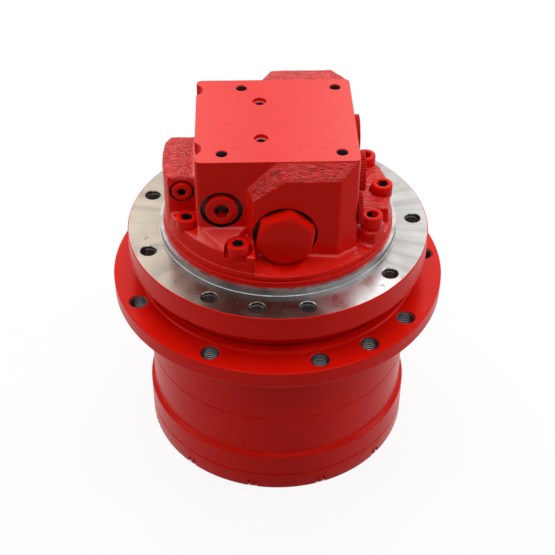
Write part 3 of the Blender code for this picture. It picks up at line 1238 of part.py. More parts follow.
def make_port_caps():
    """Push-in caps with ribbed rims, which close the ports for shipping."""
    sizes = (("main_port_cap_a", PORT_Y, PORT_AXIS_H, PORT_CAP_R, PORT_CAP_T, PORT_R),
             ("main_port_cap_b", -PORT_Y, PORT_AXIS_H, PORT_CAP_R, PORT_CAP_T, PORT_R),
             ("drain_port_cap", DRAIN_Y, DRAIN_H, DRAIN_CAP_R, DRAIN_CAP_T, DRAIN_R))
    for name, y, height, cap_r, thickness, bore_r in sizes:
        made = plate(name, [ribbed_outline(cap_r, CAP_RIBS, FREE)], SEAT, thickness, RED_CAP)
        made.location = at_joint(BLOCK_X[1], y, height)
        made.rotation_euler = (0, pi / 2, 0)
        shank = bar(f"{name}_shank", bore_r, at_joint(BLOCK_X[1] - CAP_SHANK, y, height),
                    at_joint(BLOCK_X[1] + FREE, y, height))
        join(made, shank)


def helix(name, radius, wire_r, start, end, turns, paint):
    """A coil spring along Y, as a curve with a round section."""
    curve = bpy.data.curves.new(name, 'CURVE')
    curve.dimensions = '3D'
    curve.bevel_depth = wire_r
    curve.bevel_resolution = 0
    curve.use_fill_caps = True
    steps = int(turns * 9)
    spline = curve.splines.new('POLY')
    spline.points.add(steps)
    length = end.y - start.y
    reach = abs(length) - 2 * wire_r
    way = 1 if length > 0 else -1
    for i in range(steps + 1):
        angle = 2 * pi * turns * i / steps
        spline.points[i].co = (start.x + radius * cos(angle), start.y + way * (wire_r + reach * i / steps),
                               start.z + radius * sin(angle), 1.0)
    made = bpy.data.objects.new(name, curve)
    curve.materials.append(paint)
    PARTS.objects.link(made)
    return made


def spool(name, centre, radius, neck_r, half, land, paint):
    """A valve spool along Y: two lands, a waist and a middle land."""
    profile = [(0.0, half), (radius, half), (radius, half - land), (neck_r, half - land),
               (neck_r, land / 3), (radius, land / 3), (radius, -land / 3), (neck_r, -land / 3),
               (neck_r, land - half), (radius, land - half), (radius, -half), (0.0, -half)]
    return turned(name, profile, paint, FACETS_SMALL, origin=centre, tilt=(pi / 2, 0, 0))


def make_valves():
    """Counterbalance spool with its centring springs, and the speed selector spool."""
    spool("counterbalance_spool", at_joint(SPOOL_X, 0, SPOOL_H), SPOOL_R, SPOOL_NECK_R, SPOOL_HALF,
          SPOOL_LAND, GEAR_STEEL)
    near = SPOOL_HALF + SEAT
    far = SPOOL_HALF + SPOOL_CHAMBER
    for tag, way in (("front", -1), ("back", 1)):
        helix(f"counterbalance_spring_{tag}", 7.5 * MM, 1.2 * MM, at_joint(SPOOL_X, way * far, SPOOL_H),
              at_joint(SPOOL_X, way * near, SPOOL_H), 3, SPRING_STEEL)
    start = -EAR_HALF_Y + SOCKET_PLUG_SEAT_DEPTH + SOCKET_PLUG_LENGTH + SEAT
    centre = start + SELECTOR_LENGTH / 2
    end = start + SELECTOR_LENGTH
    spool("speed_selector_spool", at_joint(EAR_PLUG_X, centre, EAR_PLUG_H), SELECTOR_R, SELECTOR_R * 0.65,
          SELECTOR_LENGTH / 2, SELECTOR_LENGTH / 4, GEAR_STEEL)
    far_end = end + SELECTOR_CHAMBER - 2 * SEAT
    helix("speed_selector_spring", 2.9 * MM, 0.6 * MM, at_joint(EAR_PLUG_X, far_end, EAR_PLUG_H),
          at_joint(EAR_PLUG_X, end + SEAT, EAR_PLUG_H), 3, SPRING_STEEL)
    ring("shaft_bearing_rear", SHAFT_TOP_R + RUN, REAR_BEARING_R, VALVE_Z + SEAT,
         VALVE_Z + REAR_BEARING_W + SEAT, BEARING_STEEL, FACETS_MEDIUM)


def make_socket_plugs():
    inward = Vector((0, 1, 0))
    gallery_seat = at_joint(GALLERY_PLUG_X, -BLOCK_Y + SOCKET_PLUG_SEAT_DEPTH, GALLERY_PLUG_H)
    socket_plug("gallery_plug", gallery_seat, inward, GALLERY_PLUG_R, SOCKET_PLUG_HEAD_H,
                GALLERY_PLUG_THREAD_R, SOCKET_PLUG_LENGTH, GALLERY_PLUG_KEY)
    ear_seat = at_joint(EAR_PLUG_X, -EAR_HALF_Y + SOCKET_PLUG_SEAT_DEPTH, EAR_PLUG_H)
    socket_plug("speed_selector_plug", ear_seat, inward, EAR_PLUG_R, SOCKET_PLUG_HEAD_H,
                EAR_PLUG_THREAD_R, SOCKET_PLUG_LENGTH - SEAT, EAR_PLUG_KEY)


for old in list(bpy.data.objects):
    bpy.data.objects.remove(old)
PARTS = collection("excavator_final_drive")
CUTTERS = collection("cutters")
RED_PAINT = material("red_paint", (0.62, 0.03, 0.02), 0.35, 0.0)
RED_CAP = material("red_plastic", (0.60, 0.04, 0.03), 0.5, 0.0)
FLANGE_STEEL = material("flange_steel", (0.55, 0.53, 0.50), 0.35, 0.9)
FORGED_STEEL = material("forged_steel", (0.30, 0.30, 0.31), 0.45, 0.9)
GEAR_STEEL = material("gear_steel", (0.45, 0.45, 0.46), 0.3, 1.0)
BEARING_STEEL = material("bearing_steel", (0.62, 0.62, 0.63), 0.2, 1.0)
BRONZE_STEEL = material("bronze", (0.50, 0.36, 0.20), 0.35, 0.9)
SPRING_STEEL = material("spring_steel", (0.25, 0.26, 0.28), 0.35, 1.0)
SEAL_IRON = material("seal_iron", (0.35, 0.35, 0.36), 0.25, 1.0)
BLACK_RUBBER = material("black_rubber", (0.02, 0.02, 0.02), 0.7, 0.0)
FRICTION_LINING = material("friction_lining", (0.20, 0.16, 0.12), 0.8, 0.0)

make_housing()
make_hub()
make_cover()
make_bearings_and_seal()
make_planets(1, PLANET_1_TEETH, ORBIT_1_R, PIN_1_R, STAGE_1_Z, STAGE_1_W)
make_planets(2, PLANET_2_TEETH, ORBIT_2_R, PIN_2_R, STAGE_2_Z, STAGE_2_W)
make_sun_1()
make_sun_2()
make_carriers()
make_swash_plate()
make_shaft()
make_rotating_group()
make_brake()
make_valve_body()
make_bolts()
make_hex_plugs()
make_socket_plugs()
make_port_caps()
make_valves()

bpy.context.view_layer.update()
for part in list(PARTS.objects):
    if part.type == 'MESH':
        finish_shading(part)
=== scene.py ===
"""The finished look of the excavator final drive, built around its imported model.

Lengths in this file are millimetres, in the model's own frame, until a mesh is made.
"""
import json
from math import acos, atan2, cos, hypot, pi, radians, sin, tan

import bmesh
import bpy
import numpy as np
from mathutils import Matrix, Vector, noise


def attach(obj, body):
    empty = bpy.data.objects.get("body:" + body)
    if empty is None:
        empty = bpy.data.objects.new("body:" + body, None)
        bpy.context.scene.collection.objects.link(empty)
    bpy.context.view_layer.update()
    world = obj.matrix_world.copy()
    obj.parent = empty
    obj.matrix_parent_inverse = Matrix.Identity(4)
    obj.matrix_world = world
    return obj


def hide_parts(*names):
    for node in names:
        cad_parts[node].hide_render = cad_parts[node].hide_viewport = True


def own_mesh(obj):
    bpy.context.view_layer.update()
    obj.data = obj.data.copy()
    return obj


MM = 0.001
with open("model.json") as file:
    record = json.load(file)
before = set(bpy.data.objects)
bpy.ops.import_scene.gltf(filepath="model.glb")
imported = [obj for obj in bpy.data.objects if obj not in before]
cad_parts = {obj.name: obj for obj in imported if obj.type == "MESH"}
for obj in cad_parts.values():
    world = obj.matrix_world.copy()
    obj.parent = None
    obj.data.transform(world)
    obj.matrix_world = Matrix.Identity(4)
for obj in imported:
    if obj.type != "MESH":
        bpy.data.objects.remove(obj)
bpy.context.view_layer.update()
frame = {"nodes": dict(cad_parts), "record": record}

UP, DOWN = (0, 0, 1), (0, 0, -1)
ROUND = 240            # facets of the large turned pieces

# Turned pieces: radii, and heights along the shaft
HUB_R = 105.4
HUB_FILLET = 5.0
HUB_BORE_R = 83.05
RIM_R = 108.6          # where the drum and the cover meet
SPROCKET_FLANGE_R = 131.9
SPROCKET_FACE, SPROCKET_TOP = 138.9, 152.5
RING_R, RING_LOW, RING_HIGH = 90.4, 17.0, 79.7
NECK_R = 101.5
NECK_FILLET = 3.0
FRAME_FLANGE_R = 118.0
FRAME_BACK, FRAME_FACE = 173.2, 193.8
JOINT = 203.7          # top of the motor housing, where the valve body sits

# Holes and screws: the radius of their circle, and where each one is on it in degrees
SPROCKET_CIRCLE, SPROCKET_ANGLES = 119.7, [3.3 + 40 * i for i in range(9)] + [303.3]
FRAME_CIRCLE, FRAME_ANGLES = 106.4, [40 * i for i in range(9)] + [260]
COVER_CIRCLE, COVER_ANGLES = 103.6, [17.5 + 30 * i for i in range(12)]
OIL_PLUG_CIRCLE, OIL_PLUG_ANGLES = 60, (200, 290)
BODY_CIRCLE, BODY_ANGLES = 80.4, (358.5, 28, 112, 149, 210.5, 247, 328.8)
MOAT_ANGLES = (358.5, 247)           # body screws with a groove cut round them
LUG_ANGLE = 328.8                    # body screw that stands on a lug of its own
M14_R, M14_MOUTH_R, M14_PITCH = 7.0, 7.7, 2.0
M12_R, M12_MOUTH_R, M12_PITCH = 6.0, 6.6, 1.75
SPROCKET_THREAD_LOW, SPROCKET_THREAD_TOP = 139.7, 151.7
FRAME_THREAD_LOW, FRAME_THREAD_TOP = 173.9, 193.1
THREAD_DEPTH = 0.54    # share of the pitch
BORE_MARGIN = 0.1      # how far past a bore's radius its wall is looked for

# Valve body: places across the shaft, and heights above the joint
BLOCK_LOW, BLOCK_HIGH = (-61.5, -56.5), (56.7, 56.5)
PORT_SIDE = BLOCK_HIGH[0]
PAD_TOP = 83.4
PAD_HOLES = ((-27, 45), (45, 45), (-42, -45), (44, -45))
PAD_PORT_X, PAD_PORT_Y = -13.5, (25.4, -25.4)
FRONT, BACK = -66.0, 77.0
HEX_PLUG_X, HEX_PLUG_H = 3.0, 25.9
GALLERY_X, GALLERY_H = -42.9, 42.3
SELECTOR_X, SELECTOR_H = -72.6, 39.4
MAIN_PORT_Y, MAIN_PORT_H = (25, -25), 53.4
DRAIN_PORT_Y, DRAIN_PORT_H = -46, 34.4

# Camera and floor
CAMERA_PLACE = (-28.0, -763.3, 766.4)
FOCAL_LENGTH = 78.43
FLOOR_REACH, FLOOR_Z = 6000, -0.05

SHAPES = bpy.data.collections.new("shapes")
bpy.context.scene.collection.children.link(SHAPES)


# Mesh helpers

def link(name, mesh):
    made = bpy.data.objects.new(name, mesh)
    SHAPES.objects.link(made)
    return made


def from_lists(name, points, faces):
    mesh = bpy.data.meshes.new(name)
    mesh.from_pydata([(x * MM, y * MM, z * MM) for x, y, z in points], [], faces)
    shape = bmesh.new()
    shape.from_mesh(mesh)
    bmesh.ops.recalc_face_normals(shape, faces=shape.faces)
    shape.to_mesh(mesh)
    shape.free()
    return link(name, mesh)


def stand(made, origin, direction, spin=0.0):
    """Turns a mesh made along +Z to a direction and moves it to its origin, in the mesh itself."""
    z = Vector(direction)
    x = Vector((1, 0, 0)) if abs(z.z) > 0.99 else Vector((0, 0, 1)).cross(z).normalized()
    axes = Matrix((x, z.cross(x), z)).transposed().to_4x4()
    made.data.transform(Matrix.Translation(Vector(origin) * MM) @ axes @ Matrix.Rotation(spin, 4, 'Z'))
    return made


def revolve(name, profile, facets=96, origin=(0, 0, 0), direction=UP):
    """Turns a closed outline of (radius, height) pairs; a radius of 0 is a point on the axis."""
    points, rings = [], []
    for r, z in profile:
        if r < 1e-6:
            rings.append([len(points)])
            points.append((0, 0, z))
        else:
            rings.append(list(range(len(points), len(points) + facets)))
            points += [(r * cos(2 * pi * i / facets), r * sin(2 * pi * i / facets), z) for i in range(facets)]
    faces = []
    for a, b in zip(rings, rings[1:] + rings[:1]):
        for i in range(facets):
            j = (i + 1) % facets
            if len(a) > 1 and len(b) > 1:
                faces.append((a[i], a[j], b[j], b[i]))
            elif len(a) > 1:
                faces.append((a[i], a[j], b[0]))
            elif len(b) > 1:
                faces.append((a[0], b[j], b[i]))
    return stand(from_lists(name, points, faces), origin, direction)


def prism(name, outline, low, high, origin=(0, 0, 0), direction=UP, spin=0.0):
    """An outline drawn out between two heights."""
    count = len(outline)
    points = [(x, y, z) for z in (low, high) for x, y in outline]
    faces = [tuple(range(count)), tuple(range(count, 2 * count))]
    faces += [(i, (i + 1) % count, count + (i + 1) % count, count + i) for i in range(count)]
    return stand(from_lists(name, points, faces), origin, direction, spin)


def cylinder(name, radius, origin, direction, low, high, facets=48):
    return revolve(name, [(0, high), (radius, high), (radius, low), (0, low)], facets, origin, direction)


def box(name, low, high):
    (a, b, c), (d, e, f) = low, high
    return prism(name, [(a, b), (d, b), (d, e), (a, e)], c, f)


def loft(name, points):
    """The convex volume round a few points."""
    shape = bmesh.new()
    for x, y, z in points:
        shape.verts.new((x * MM, y * MM, z * MM))
    bmesh.ops.convex_hull(shape, input=shape.verts)
    bmesh.ops.recalc_face_normals(shape, faces=shape.faces)
    mesh = bpy.data.meshes.new(name)
    shape.to_mesh(mesh)
    shape.free()
    return link(name, mesh)


def polygon(radius, sides, spin=0.0):
    angles = [spin + 2 * pi * i / sides for i in range(sides)]
    return [(radius * cos(a), radius * sin(a)) for a in angles]


def hexagon(key):
    """A hexagon, by the distance across its flats."""
    return polygon(key / 2 / cos(pi / 6), 6)


def rounded(low, high, radius, steps=6):
    """A rectangle with round corners."""
    corners = ((high[0] - radius, low[1] + radius, -pi / 2), (high[0] - radius, high[1] - radius, 0.0),
               (low[0] + radius, high[1] - radius, pi / 2), (low[0] + radius, low[1] + radius, pi))
    return [(x + radius * cos(a + pi / 2 * i / steps), y + radius * sin(a + pi / 2 * i / steps))
            for x, y, a in corners for i in range(steps + 1)]


def apply(made):
    """Turns the modifiers of a piece into its shape."""
    bpy.context.view_layer.update()
    mesh = bpy.data.meshes.new_from_object(made.evaluated_get(bpy.context.evaluated_depsgraph_get()))
    made.modifiers.clear()
    made.data = mesh
    return made


def joined(name, pieces):
    """One mesh from several that share their materials, as one object."""
    shape = bmesh.new()
    paints = list(pieces[0].data.materials)
    for piece in pieces:
        shape.from_mesh(piece.data)
        bpy.data.objects.remove(piece)
    mesh = bpy.data.meshes.new(name)
    shape.to_mesh(mesh)
    shape.free()
    for paint in paints:
        mesh.materials.append(paint)
    return link(name, mesh)


def combine(made, tool, operation='DIFFERENCE'):
    """Cuts a tool from a piece, or joins it on, and uses the tool up."""
    step = made.modifiers.new("step", 'BOOLEAN')
    step.operation = operation
    step.object = tool
    step.solver = 'EXACT'
    apply(made)
    bpy.data.objects.remove(tool)
    return made


def soften(made, width, segments, angle):
    """Rounds the edges that are sharper than an angle."""
    step = made.modifiers.new("soften", 'BEVEL')
    step.width = width * MM
    step.segments = segments
    step.limit_method = 'ANGLE'
    step.angle_limit = radians(angle)
    step.harden_normals = False
    step.use_clamp_overlap = True
    return apply(made)


def shade(made, angle=32):
    """Smooth shading, apart from the edges that are sharper than an angle."""
    made.data.shade_smooth()
    made.data.set_sharp_from_angle(angle=radians(angle))
    return made


def finish(made, body, paint, *nodes, slot=None, angle=32):
    """Gives a piece its material and shading, puts it on its body, and hides the nodes that it stands for."""
    if not made.data.materials:
        made.data.materials.append(paint)
    shade(made, angle)
    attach(made, body)
    if nodes:
        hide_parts(*nodes)
    return made


def turn(radius, degrees, z=0.0):
    """A place on a circle round the shaft's axis."""
    return (radius * cos(radians(degrees)), radius * sin(radians(degrees)), z)


# Materials

class Nodes:
    """A short way to write a node tree."""

    def __init__(self, name):
        self.material = bpy.data.materials.new(name)
        self.material.use_nodes = True
        self.tree = self.material.node_tree
        self.shader = self.tree.nodes["Principled BSDF"]
        self.place = self.add('ShaderNodeTexCoord').outputs['Object']

    def add(self, kind, **values):
        node = self.tree.nodes.new(kind)
        for key, value in values.items():
            setattr(node, key, value)
        return node

    def wire(self, socket, value):
        if isinstance(value, bpy.types.NodeSocket):
            self.tree.links.new(value, socket)
        else:
            socket.default_value = value

    def math(self, operation, a, b=0.0, clamp=False):
        node = self.add('ShaderNodeMath', operation=operation, use_clamp=clamp)
        self.wire(node.inputs[0], a)
        self.wire(node.inputs[1], b)
        return node.outputs[0]

    def noise(self, scale, detail=3.0, roughness=0.5, stretch=None, distortion=0.0):
        node = self.add('ShaderNodeTexNoise')
        node.inputs['Scale'].default_value = scale
        node.inputs['Detail'].default_value = detail
        node.inputs['Roughness'].default_value = roughness
        node.inputs['Distortion'].default_value = distortion
        place = self.place
        if stretch:
            mapping = self.add('ShaderNodeMapping')
            mapping.inputs['Scale'].default_value = stretch
            self.wire(mapping.inputs['Vector'], place)
            place = mapping.outputs[0]
        self.wire(node.inputs['Vector'], place)
        return node.outputs['Fac']

    def ramp(self, value, low, high, out_low=0.0, out_high=1.0):
        node = self.add('ShaderNodeMapRange', interpolation_type='SMOOTHSTEP')
        self.wire(node.inputs['Value'], value)
        for key, number in (('From Min', low), ('From Max', high), ('To Min', out_low), ('To Max', out_high)):
            node.inputs[key].default_value = number
        return node.outputs['Result']

    def mix(self, share, a, b):
        node = self.add('ShaderNodeMix', data_type='RGBA')
        self.wire(node.inputs[0], share)
        self.wire(node.inputs[6], a if isinstance(a, bpy.types.NodeSocket) else (*a, 1.0))
        self.wire(node.inputs[7], b if isinstance(b, bpy.types.NodeSocket) else (*b, 1.0))
        return node.outputs[2]

    def bump(self, height, strength, distance, below=None):
        node = self.add('ShaderNodeBump')
        self.wire(node.inputs['Strength'], strength)
        node.inputs['Distance'].default_value = distance * MM
        self.wire(node.inputs['Height'], height)
        if below:
            self.wire(node.inputs['Normal'], below)
        return node.outputs[0]

    def soft_edges(self, width):
        """Normals that turn over a sharp edge, as paint and broken edges do."""
        node = self.add('ShaderNodeBevel', samples=4)
        node.inputs['Radius'].default_value = width * MM
        return node.outputs[0]

    def plan(self):
        """The place across the shaft in metres: x, y and the distance from the axis."""
        split = self.add('ShaderNodeSeparateXYZ')
        self.wire(split.inputs[0], self.place)
        x, y = split.outputs[0], split.outputs[1]
        squares = self.math('ADD', self.math('MULTIPLY', x, x), self.math('MULTIPLY', y, y))
        return x, y, self.math('SQRT', squares)

    def done(self, colour, roughness, normal, metallic=0.0, specular=0.5):
        self.wire(self.shader.inputs['Base Color'], colour)
        self.wire(self.shader.inputs['Roughness'], roughness)
        self.wire(self.shader.inputs['Normal'], normal)
        self.shader.inputs['Metallic'].default_value = metallic
        self.shader.inputs['Specular IOR Level'].default_value = specular
        return self.material


def red_paint(name, cast=False, tone=(0.74, 0.007, 0.002), shine=0.075):
    """Sprayed machine paint: orange peel, slightly uneven gloss, and cast skin where it is told, with painted
    shade in the valleys of its ripples.
    """
    n = Nodes(name)
    deep = tuple(c * 0.86 for c in tone)
    cloud = n.ramp(n.noise(28.0, 3.0), 0.35, 0.7)
    colour = n.mix(n.math('MULTIPLY', cloud, 0.25), tone, deep)
    peel = n.bump(n.noise(620.0, 2.0), 0.10, 0.25, n.soft_edges(0.6) if cast else None)
    gloss = n.ramp(n.noise(45.0, 4.0), 0.2, 0.8, 0.26, 0.31)
    if cast:
        rough = n.add('ShaderNodeAttribute', attribute_name="cast_skin").outputs['Fac']
        grain = n.noise(480.0, 3.0, 0.6, stretch=(0.6, 1.0, 0.8), distortion=0.6)
        sand = n.bump(grain, n.math('ADD', n.math('MULTIPLY', rough, 0.6), 0.02), 0.5, peel)
        ripple = n.noise(360.0, 2.0, 0.5, stretch=(0.40, 1.0, 0.8), distortion=1.3)
        normal = n.bump(ripple, rough, 3.4, sand)
        # Painted shade: the valleys of the cast ripples are darkened.
        ripple_valley_shade = n.math('MULTIPLY', n.ramp(ripple, 0.40, 0.54, 1.0, 0.0), rough)
        colour = n.mix(n.math('MULTIPLY', ripple_valley_shade, 0.45), colour, tuple(c * 0.30 for c in tone))
        smear = n.add('ShaderNodeAttribute', attribute_name="smear").outputs['Fac']
        gloss = n.math('ADD', gloss, n.math('MULTIPLY', smear, 0.5))
    else:
        normal = n.bump(n.noise(150.0, 2.0), 0.05, 0.5, peel)
    return n.done(colour, gloss, normal, specular=shine)


def turned_steel(name):
    """Bare turned face, lightly oiled: rings from the tool, water stains and small rust dots; its colour also
    carries painted reflections: a warmer left side, dark radial streaks, a bright sector at the front right
    and a dark sector at the front.
    """
    n = Nodes(name)
    x, y, radius = n.plan()
    rings = n.math('SINE', n.math('MULTIPLY', radius, 9000.0))
    # Painted reflection: the left side of the face is tinted warmer.
    warm_reflection_left = n.ramp(x, -0.11, 0.07, 1.0, 0.0)
    reflection_tinted = n.mix(warm_reflection_left, (0.27, 0.27, 0.272), (0.28, 0.245, 0.205))
    # Painted reflection: darker radial streaks fanned round the axis, standing in for the highlight that the
    # turned rings spread.
    angle = n.math('ARCTAN2', y, x)
    fan = n.add('ShaderNodeCombineXYZ')
    n.wire(fan.inputs[0], n.math('MULTIPLY', angle, 8.0))
    streak_reflection = n.add('ShaderNodeTexNoise')
    streak_reflection.inputs['Scale'].default_value = 1.0
    streak_reflection.inputs['Detail'].default_value = 5.0
    n.wire(streak_reflection.inputs['Vector'], fan.outputs[0])
    fan_reflections = n.mix(n.ramp(streak_reflection.outputs['Fac'], 0.42, 0.64, 0.0, 0.5), reflection_tinted, (0.15, 0.145, 0.14))
    # Painted highlight: a bright sector at the front right.
    bright_sector_highlight = n.ramp(n.math('ABSOLUTE', n.math('ADD', angle, 1.02)), 0.12, 0.42, 0.85, 0.0)
    # Painted reflection: a dark brown sector at the front.
    dark_front_reflection = n.ramp(n.math('ABSOLUTE', n.math('ADD', angle, 1.80)), 0.20, 0.52, 0.95, 0.0)
    base = n.mix(dark_front_reflection, n.mix(bright_sector_highlight, fan_reflections, (0.58, 0.58, 0.585)), (0.13, 0.108, 0.088))
    cloud = n.ramp(n.noise(38.0, 5.0, 0.65), 0.38, 0.72)
    clouded = n.mix(n.math('MULTIPLY', cloud, 0.25), base, (0.17, 0.155, 0.14))
    stain = n.ramp(n.noise(95.0, 3.0, 0.5), 0.66, 0.72)
    stained = n.mix(n.math('MULTIPLY', stain, 0.50), clouded, (0.11, 0.105, 0.095))
    dots = n.add('ShaderNodeTexVoronoi')
    dots.inputs['Scale'].default_value = 85.0
    n.wire(dots.inputs['Vector'], n.place)
    dot = n.ramp(dots.outputs['Distance'], 0.05, 0.075, 1.0, 0.0)
    sparse = n.ramp(n.noise(30.0, 1.0), 0.52, 0.60)
    colour = n.mix(n.math('MULTIPLY', dot, sparse), stained, (0.09, 0.055, 0.035))
    gloss = n.math('ADD', n.ramp(n.noise(60.0, 4.0), 0.3, 0.7, 0.26, 0.36), n.math('MULTIPLY', stain, 0.15))
    normal = n.bump(rings, 0.10, 0.05, n.bump(n.noise(900.0, 2.0), 0.06, 0.1))
    around = n.add('ShaderNodeTangent', direction_type='RADIAL', axis='Z')
    n.wire(n.shader.inputs['Tangent'], around.outputs[0])
    n.shader.inputs['Anisotropic'].default_value = 0.3
    return n.done(colour, gloss, normal, metallic=1.0)


def plain_metal(name, tone, roughness, grain=500.0, depth=0.05, metallic=1.0):
    n = Nodes(name)
    dark = tuple(c * 0.7 for c in tone)
    colour = n.mix(n.ramp(n.noise(70.0, 4.0), 0.35, 0.7), tone, dark)
    gloss = n.ramp(n.noise(120.0, 3.0), 0.3, 0.7, roughness * 0.8, roughness * 1.25)
    return n.done(colour, gloss, n.bump(n.noise(grain, 3.0), 0.2, depth), metallic=metallic)


def red_plastic(name):
    n = Nodes(name)
    colour = n.mix(n.ramp(n.noise(60.0, 3.0), 0.35, 0.7), (0.62, 0.008, 0.003), (0.50, 0.006, 0.003))
    gloss = n.ramp(n.noise(200.0, 2.0), 0.3, 0.7, 0.34, 0.45)
    return n.done(colour, gloss, n.bump(n.noise(900.0, 2.0), 0.15, 0.1), specular=0.15)


PAINT = red_paint("machine_red")
CAST = red_paint("machine_red_on_casting", cast=True)
CAST_TOP = red_paint("machine_red_upper_faces", cast=True, shine=0.38)
STEEL = turned_steel("turned_flange_steel")
# Thread materials: dark flanks as painted shade and bright crests as painted highlight.
CREST_HIGHLIGHT = plain_metal("thread_crests_painted_highlight", (0.60, 0.60, 0.61), 0.28)
THREAD_SHADE = plain_metal("thread_flanks_painted_shade", (0.050, 0.050, 0.052), 0.32, metallic=0.8)
# Near-black steel, used as painted shade in holes, threads and grooves.
HOLE_SHADE = plain_metal("dark_steel_painted_hole_shade", (0.030, 0.026, 0.025), 0.45, metallic=0.5)
SOCKET = plain_metal("shaded_socket", (0.020, 0.004, 0.004), 0.5, metallic=0.2)
FORGED = plain_metal("machined_forging", (0.36, 0.36, 0.37), 0.38)
GROUND = plain_metal("ground_gear_steel", (0.55, 0.55, 0.56), 0.24)
POLISHED = plain_metal("polished_bearing_steel", (0.68, 0.68, 0.69), 0.14)
BRONZE = plain_metal("lapped_bronze", (0.58, 0.40, 0.20), 0.27)
SPRING = plain_metal("shot_peened_spring", (0.24, 0.25, 0.27), 0.42, 900.0, 0.15)
IRON = plain_metal("lapped_seal_iron", (0.32, 0.32, 0.33), 0.2)
RUBBER = plain_metal("seal_rubber", (0.02, 0.02, 0.02), 0.6, 800.0, 0.1, metallic=0.0)
LINING = plain_metal("friction_lining", (0.15, 0.11, 0.08), 0.8, 700.0, 0.3, metallic=0.0)
CAP = red_plastic("red_cap_plastic")


# Hub, cover and their fasteners

def tapped(name, radius, pitch, top, bottom, place, paints):
    """The thread inside a tapped hole, as a liner with one groove for each turn."""
    root, crest = radius + 0.02, radius - THREAD_DEPTH * pitch
    profile = [(root + 0.5, top), (root + 0.5, bottom)]
    z = bottom
    while z + pitch <= top:
        profile += [(root - 0.1, z), (crest, z + 0.28 * pitch), (crest, z + 0.72 * pitch)]
        z += pitch
    profile.append((root - 0.1, z))
    made = revolve(name, profile, 28, (place[0], place[1], 0))
    for paint in paints:
        made.data.materials.append(paint)
    # The flanks keep the first paint and the crests get the second: dark flanks as painted shade, lighter
    # crests as painted highlight.
    for face in made.data.polygons:
        middle = face.center
        if hypot(middle.x / MM - place[0], middle.y / MM - place[1]) < crest + 0.03:
            face.material_index = 1
    return made


def hole_cutter(radius, chamfer, top, bottom, place, lower_mouth=True):
    """A drilled hole with a countersunk mouth above, and below where there is room for one."""
    deep = chamfer - radius
    lower = [(radius, bottom + deep), (chamfer + 1, bottom - 1)] if lower_mouth else [(radius, bottom - 1)]
    profile = [(0, top + 1), (chamfer + 1, top + 1), (radius, top - deep), *lower, (0, bottom - 1)]
    return revolve("hole", profile, 40, (place[0], place[1], 0))


def socket_screw(name, head_r, head_h, shank_r, length, key, origin, direction, spin=0.0):
    """A socket head screw that stands with the underside of its head at its origin."""
    edge = 0.09 * head_r
    mouth_z = head_h - key * 0.085
    well_z = head_h * 0.42
    made = revolve(name, [
        (0, head_h), (head_r - 1.6 * edge, head_h), (head_r - 0.5 * edge, head_h - 0.35 * edge),
        (head_r, head_h - 1.5 * edge), (head_r, 0.15), (head_r - 0.15, 0), (shank_r, 0), (shank_r, -length),
        (0, -length)], 64)
    mouth = revolve("mouth", [
        (0, head_h + 1), (key * 0.60 + 1, head_h + 1), (key * 0.50, mouth_z), (0, mouth_z)], 48)
    well = prism("well", hexagon(key), well_z, head_h + 2, spin=spin)
    tip = revolve("tip", [(0, well_z + 0.01), (key * 0.46, well_z + 0.01), (0, well_z - key * 0.2)], 24)
    for tool in (mouth, well, tip):
        combine(made, tool)
    soften(made, 0.12, 1, 35)
    darken(made, key * 0.6, head_h - key * 0.16)
    return stand(made, origin, direction)


def darken(made, reach, below, above=-1.0):
    """The faces deep in a socket get a near-black material, as painted shade."""
    made.data.materials.append(PAINT)
    made.data.materials.append(SOCKET)
    for face in made.data.polygons:
        if hypot(face.center.x, face.center.y) < reach * MM and above * MM < face.center.z < below * MM:
            face.material_index = 1


def make_hub():
    fillet = [(HUB_R + HUB_FILLET * (1 - cos(a)), SPROCKET_FACE - HUB_FILLET + HUB_FILLET * sin(a))
              for a in np.linspace(0, pi / 2, 8)]
    profile = [
        (110.0, 153.4), (109.4, 154.0), (103.3, 154.0), (103.0, 153.7), (103.0, 149.3), (93.0, 149.3),
        (93.0, 146.3), (HUB_BORE_R, 146.3), (HUB_BORE_R, 126.4), (79.0, 126.4), (79.0, 119.4),
        (HUB_BORE_R, 119.4), (HUB_BORE_R, 84.7), (RING_R, 84.7), (RING_R, RING_HIGH), (RING_R, RING_LOW),
        (107.9, 16.7), (108.4, 16.9), (RIM_R, 17.3), (RIM_R, 36.3), (108.3, 36.9), (105.75, 39.2),
        (HUB_R, 39.9), (HUB_R, 77.4), (104.9, 77.7), (104.9, 78.3), (HUB_R, 78.6), *fillet,
        (131.2, SPROCKET_FACE), (131.7, 139.1), (SPROCKET_FLANGE_R, 139.6), (SPROCKET_FLANGE_R, 151.5),
        (131.6, 152.2), (131.0, SPROCKET_TOP), (110.9, SPROCKET_TOP), (110.3, 152.7), (110.0, 153.1),
    ]
    made = revolve("hub_drum", profile, ROUND)
    places = [turn(SPROCKET_CIRCLE, a) for a in SPROCKET_ANGLES]
    cutters = [hole_cutter(M14_R, M14_MOUTH_R, SPROCKET_TOP, SPROCKET_FACE, place) for place in places]
    combine(made, joined("holes", cutters))
    made.data.materials.append(PAINT)
    made.data.materials.append(HOLE_SHADE)
    # Painted shade: the walls of the tapped holes get the near-black material.
    for face in made.data.polygons:
        x, y, z = (c / MM for c in face.center)
        if 139.7 < z < 151.6 and min(hypot(x - a, y - b) for a, b, _ in places) < M14_R + BORE_MARGIN:
            face.material_index = 1
    finish(made, "hub_side", PAINT, "hub", slot="red_paint", angle=15)
    threads = [tapped("thread", M14_R, M14_PITCH, SPROCKET_THREAD_TOP, SPROCKET_THREAD_LOW, place,
                      (HOLE_SHADE, SPRING)) for place in places]
    finish(joined("sprocket_hole_threads", threads), "hub_side", HOLE_SHADE, slot="forged_steel", angle=60)
    make_ring_gear()


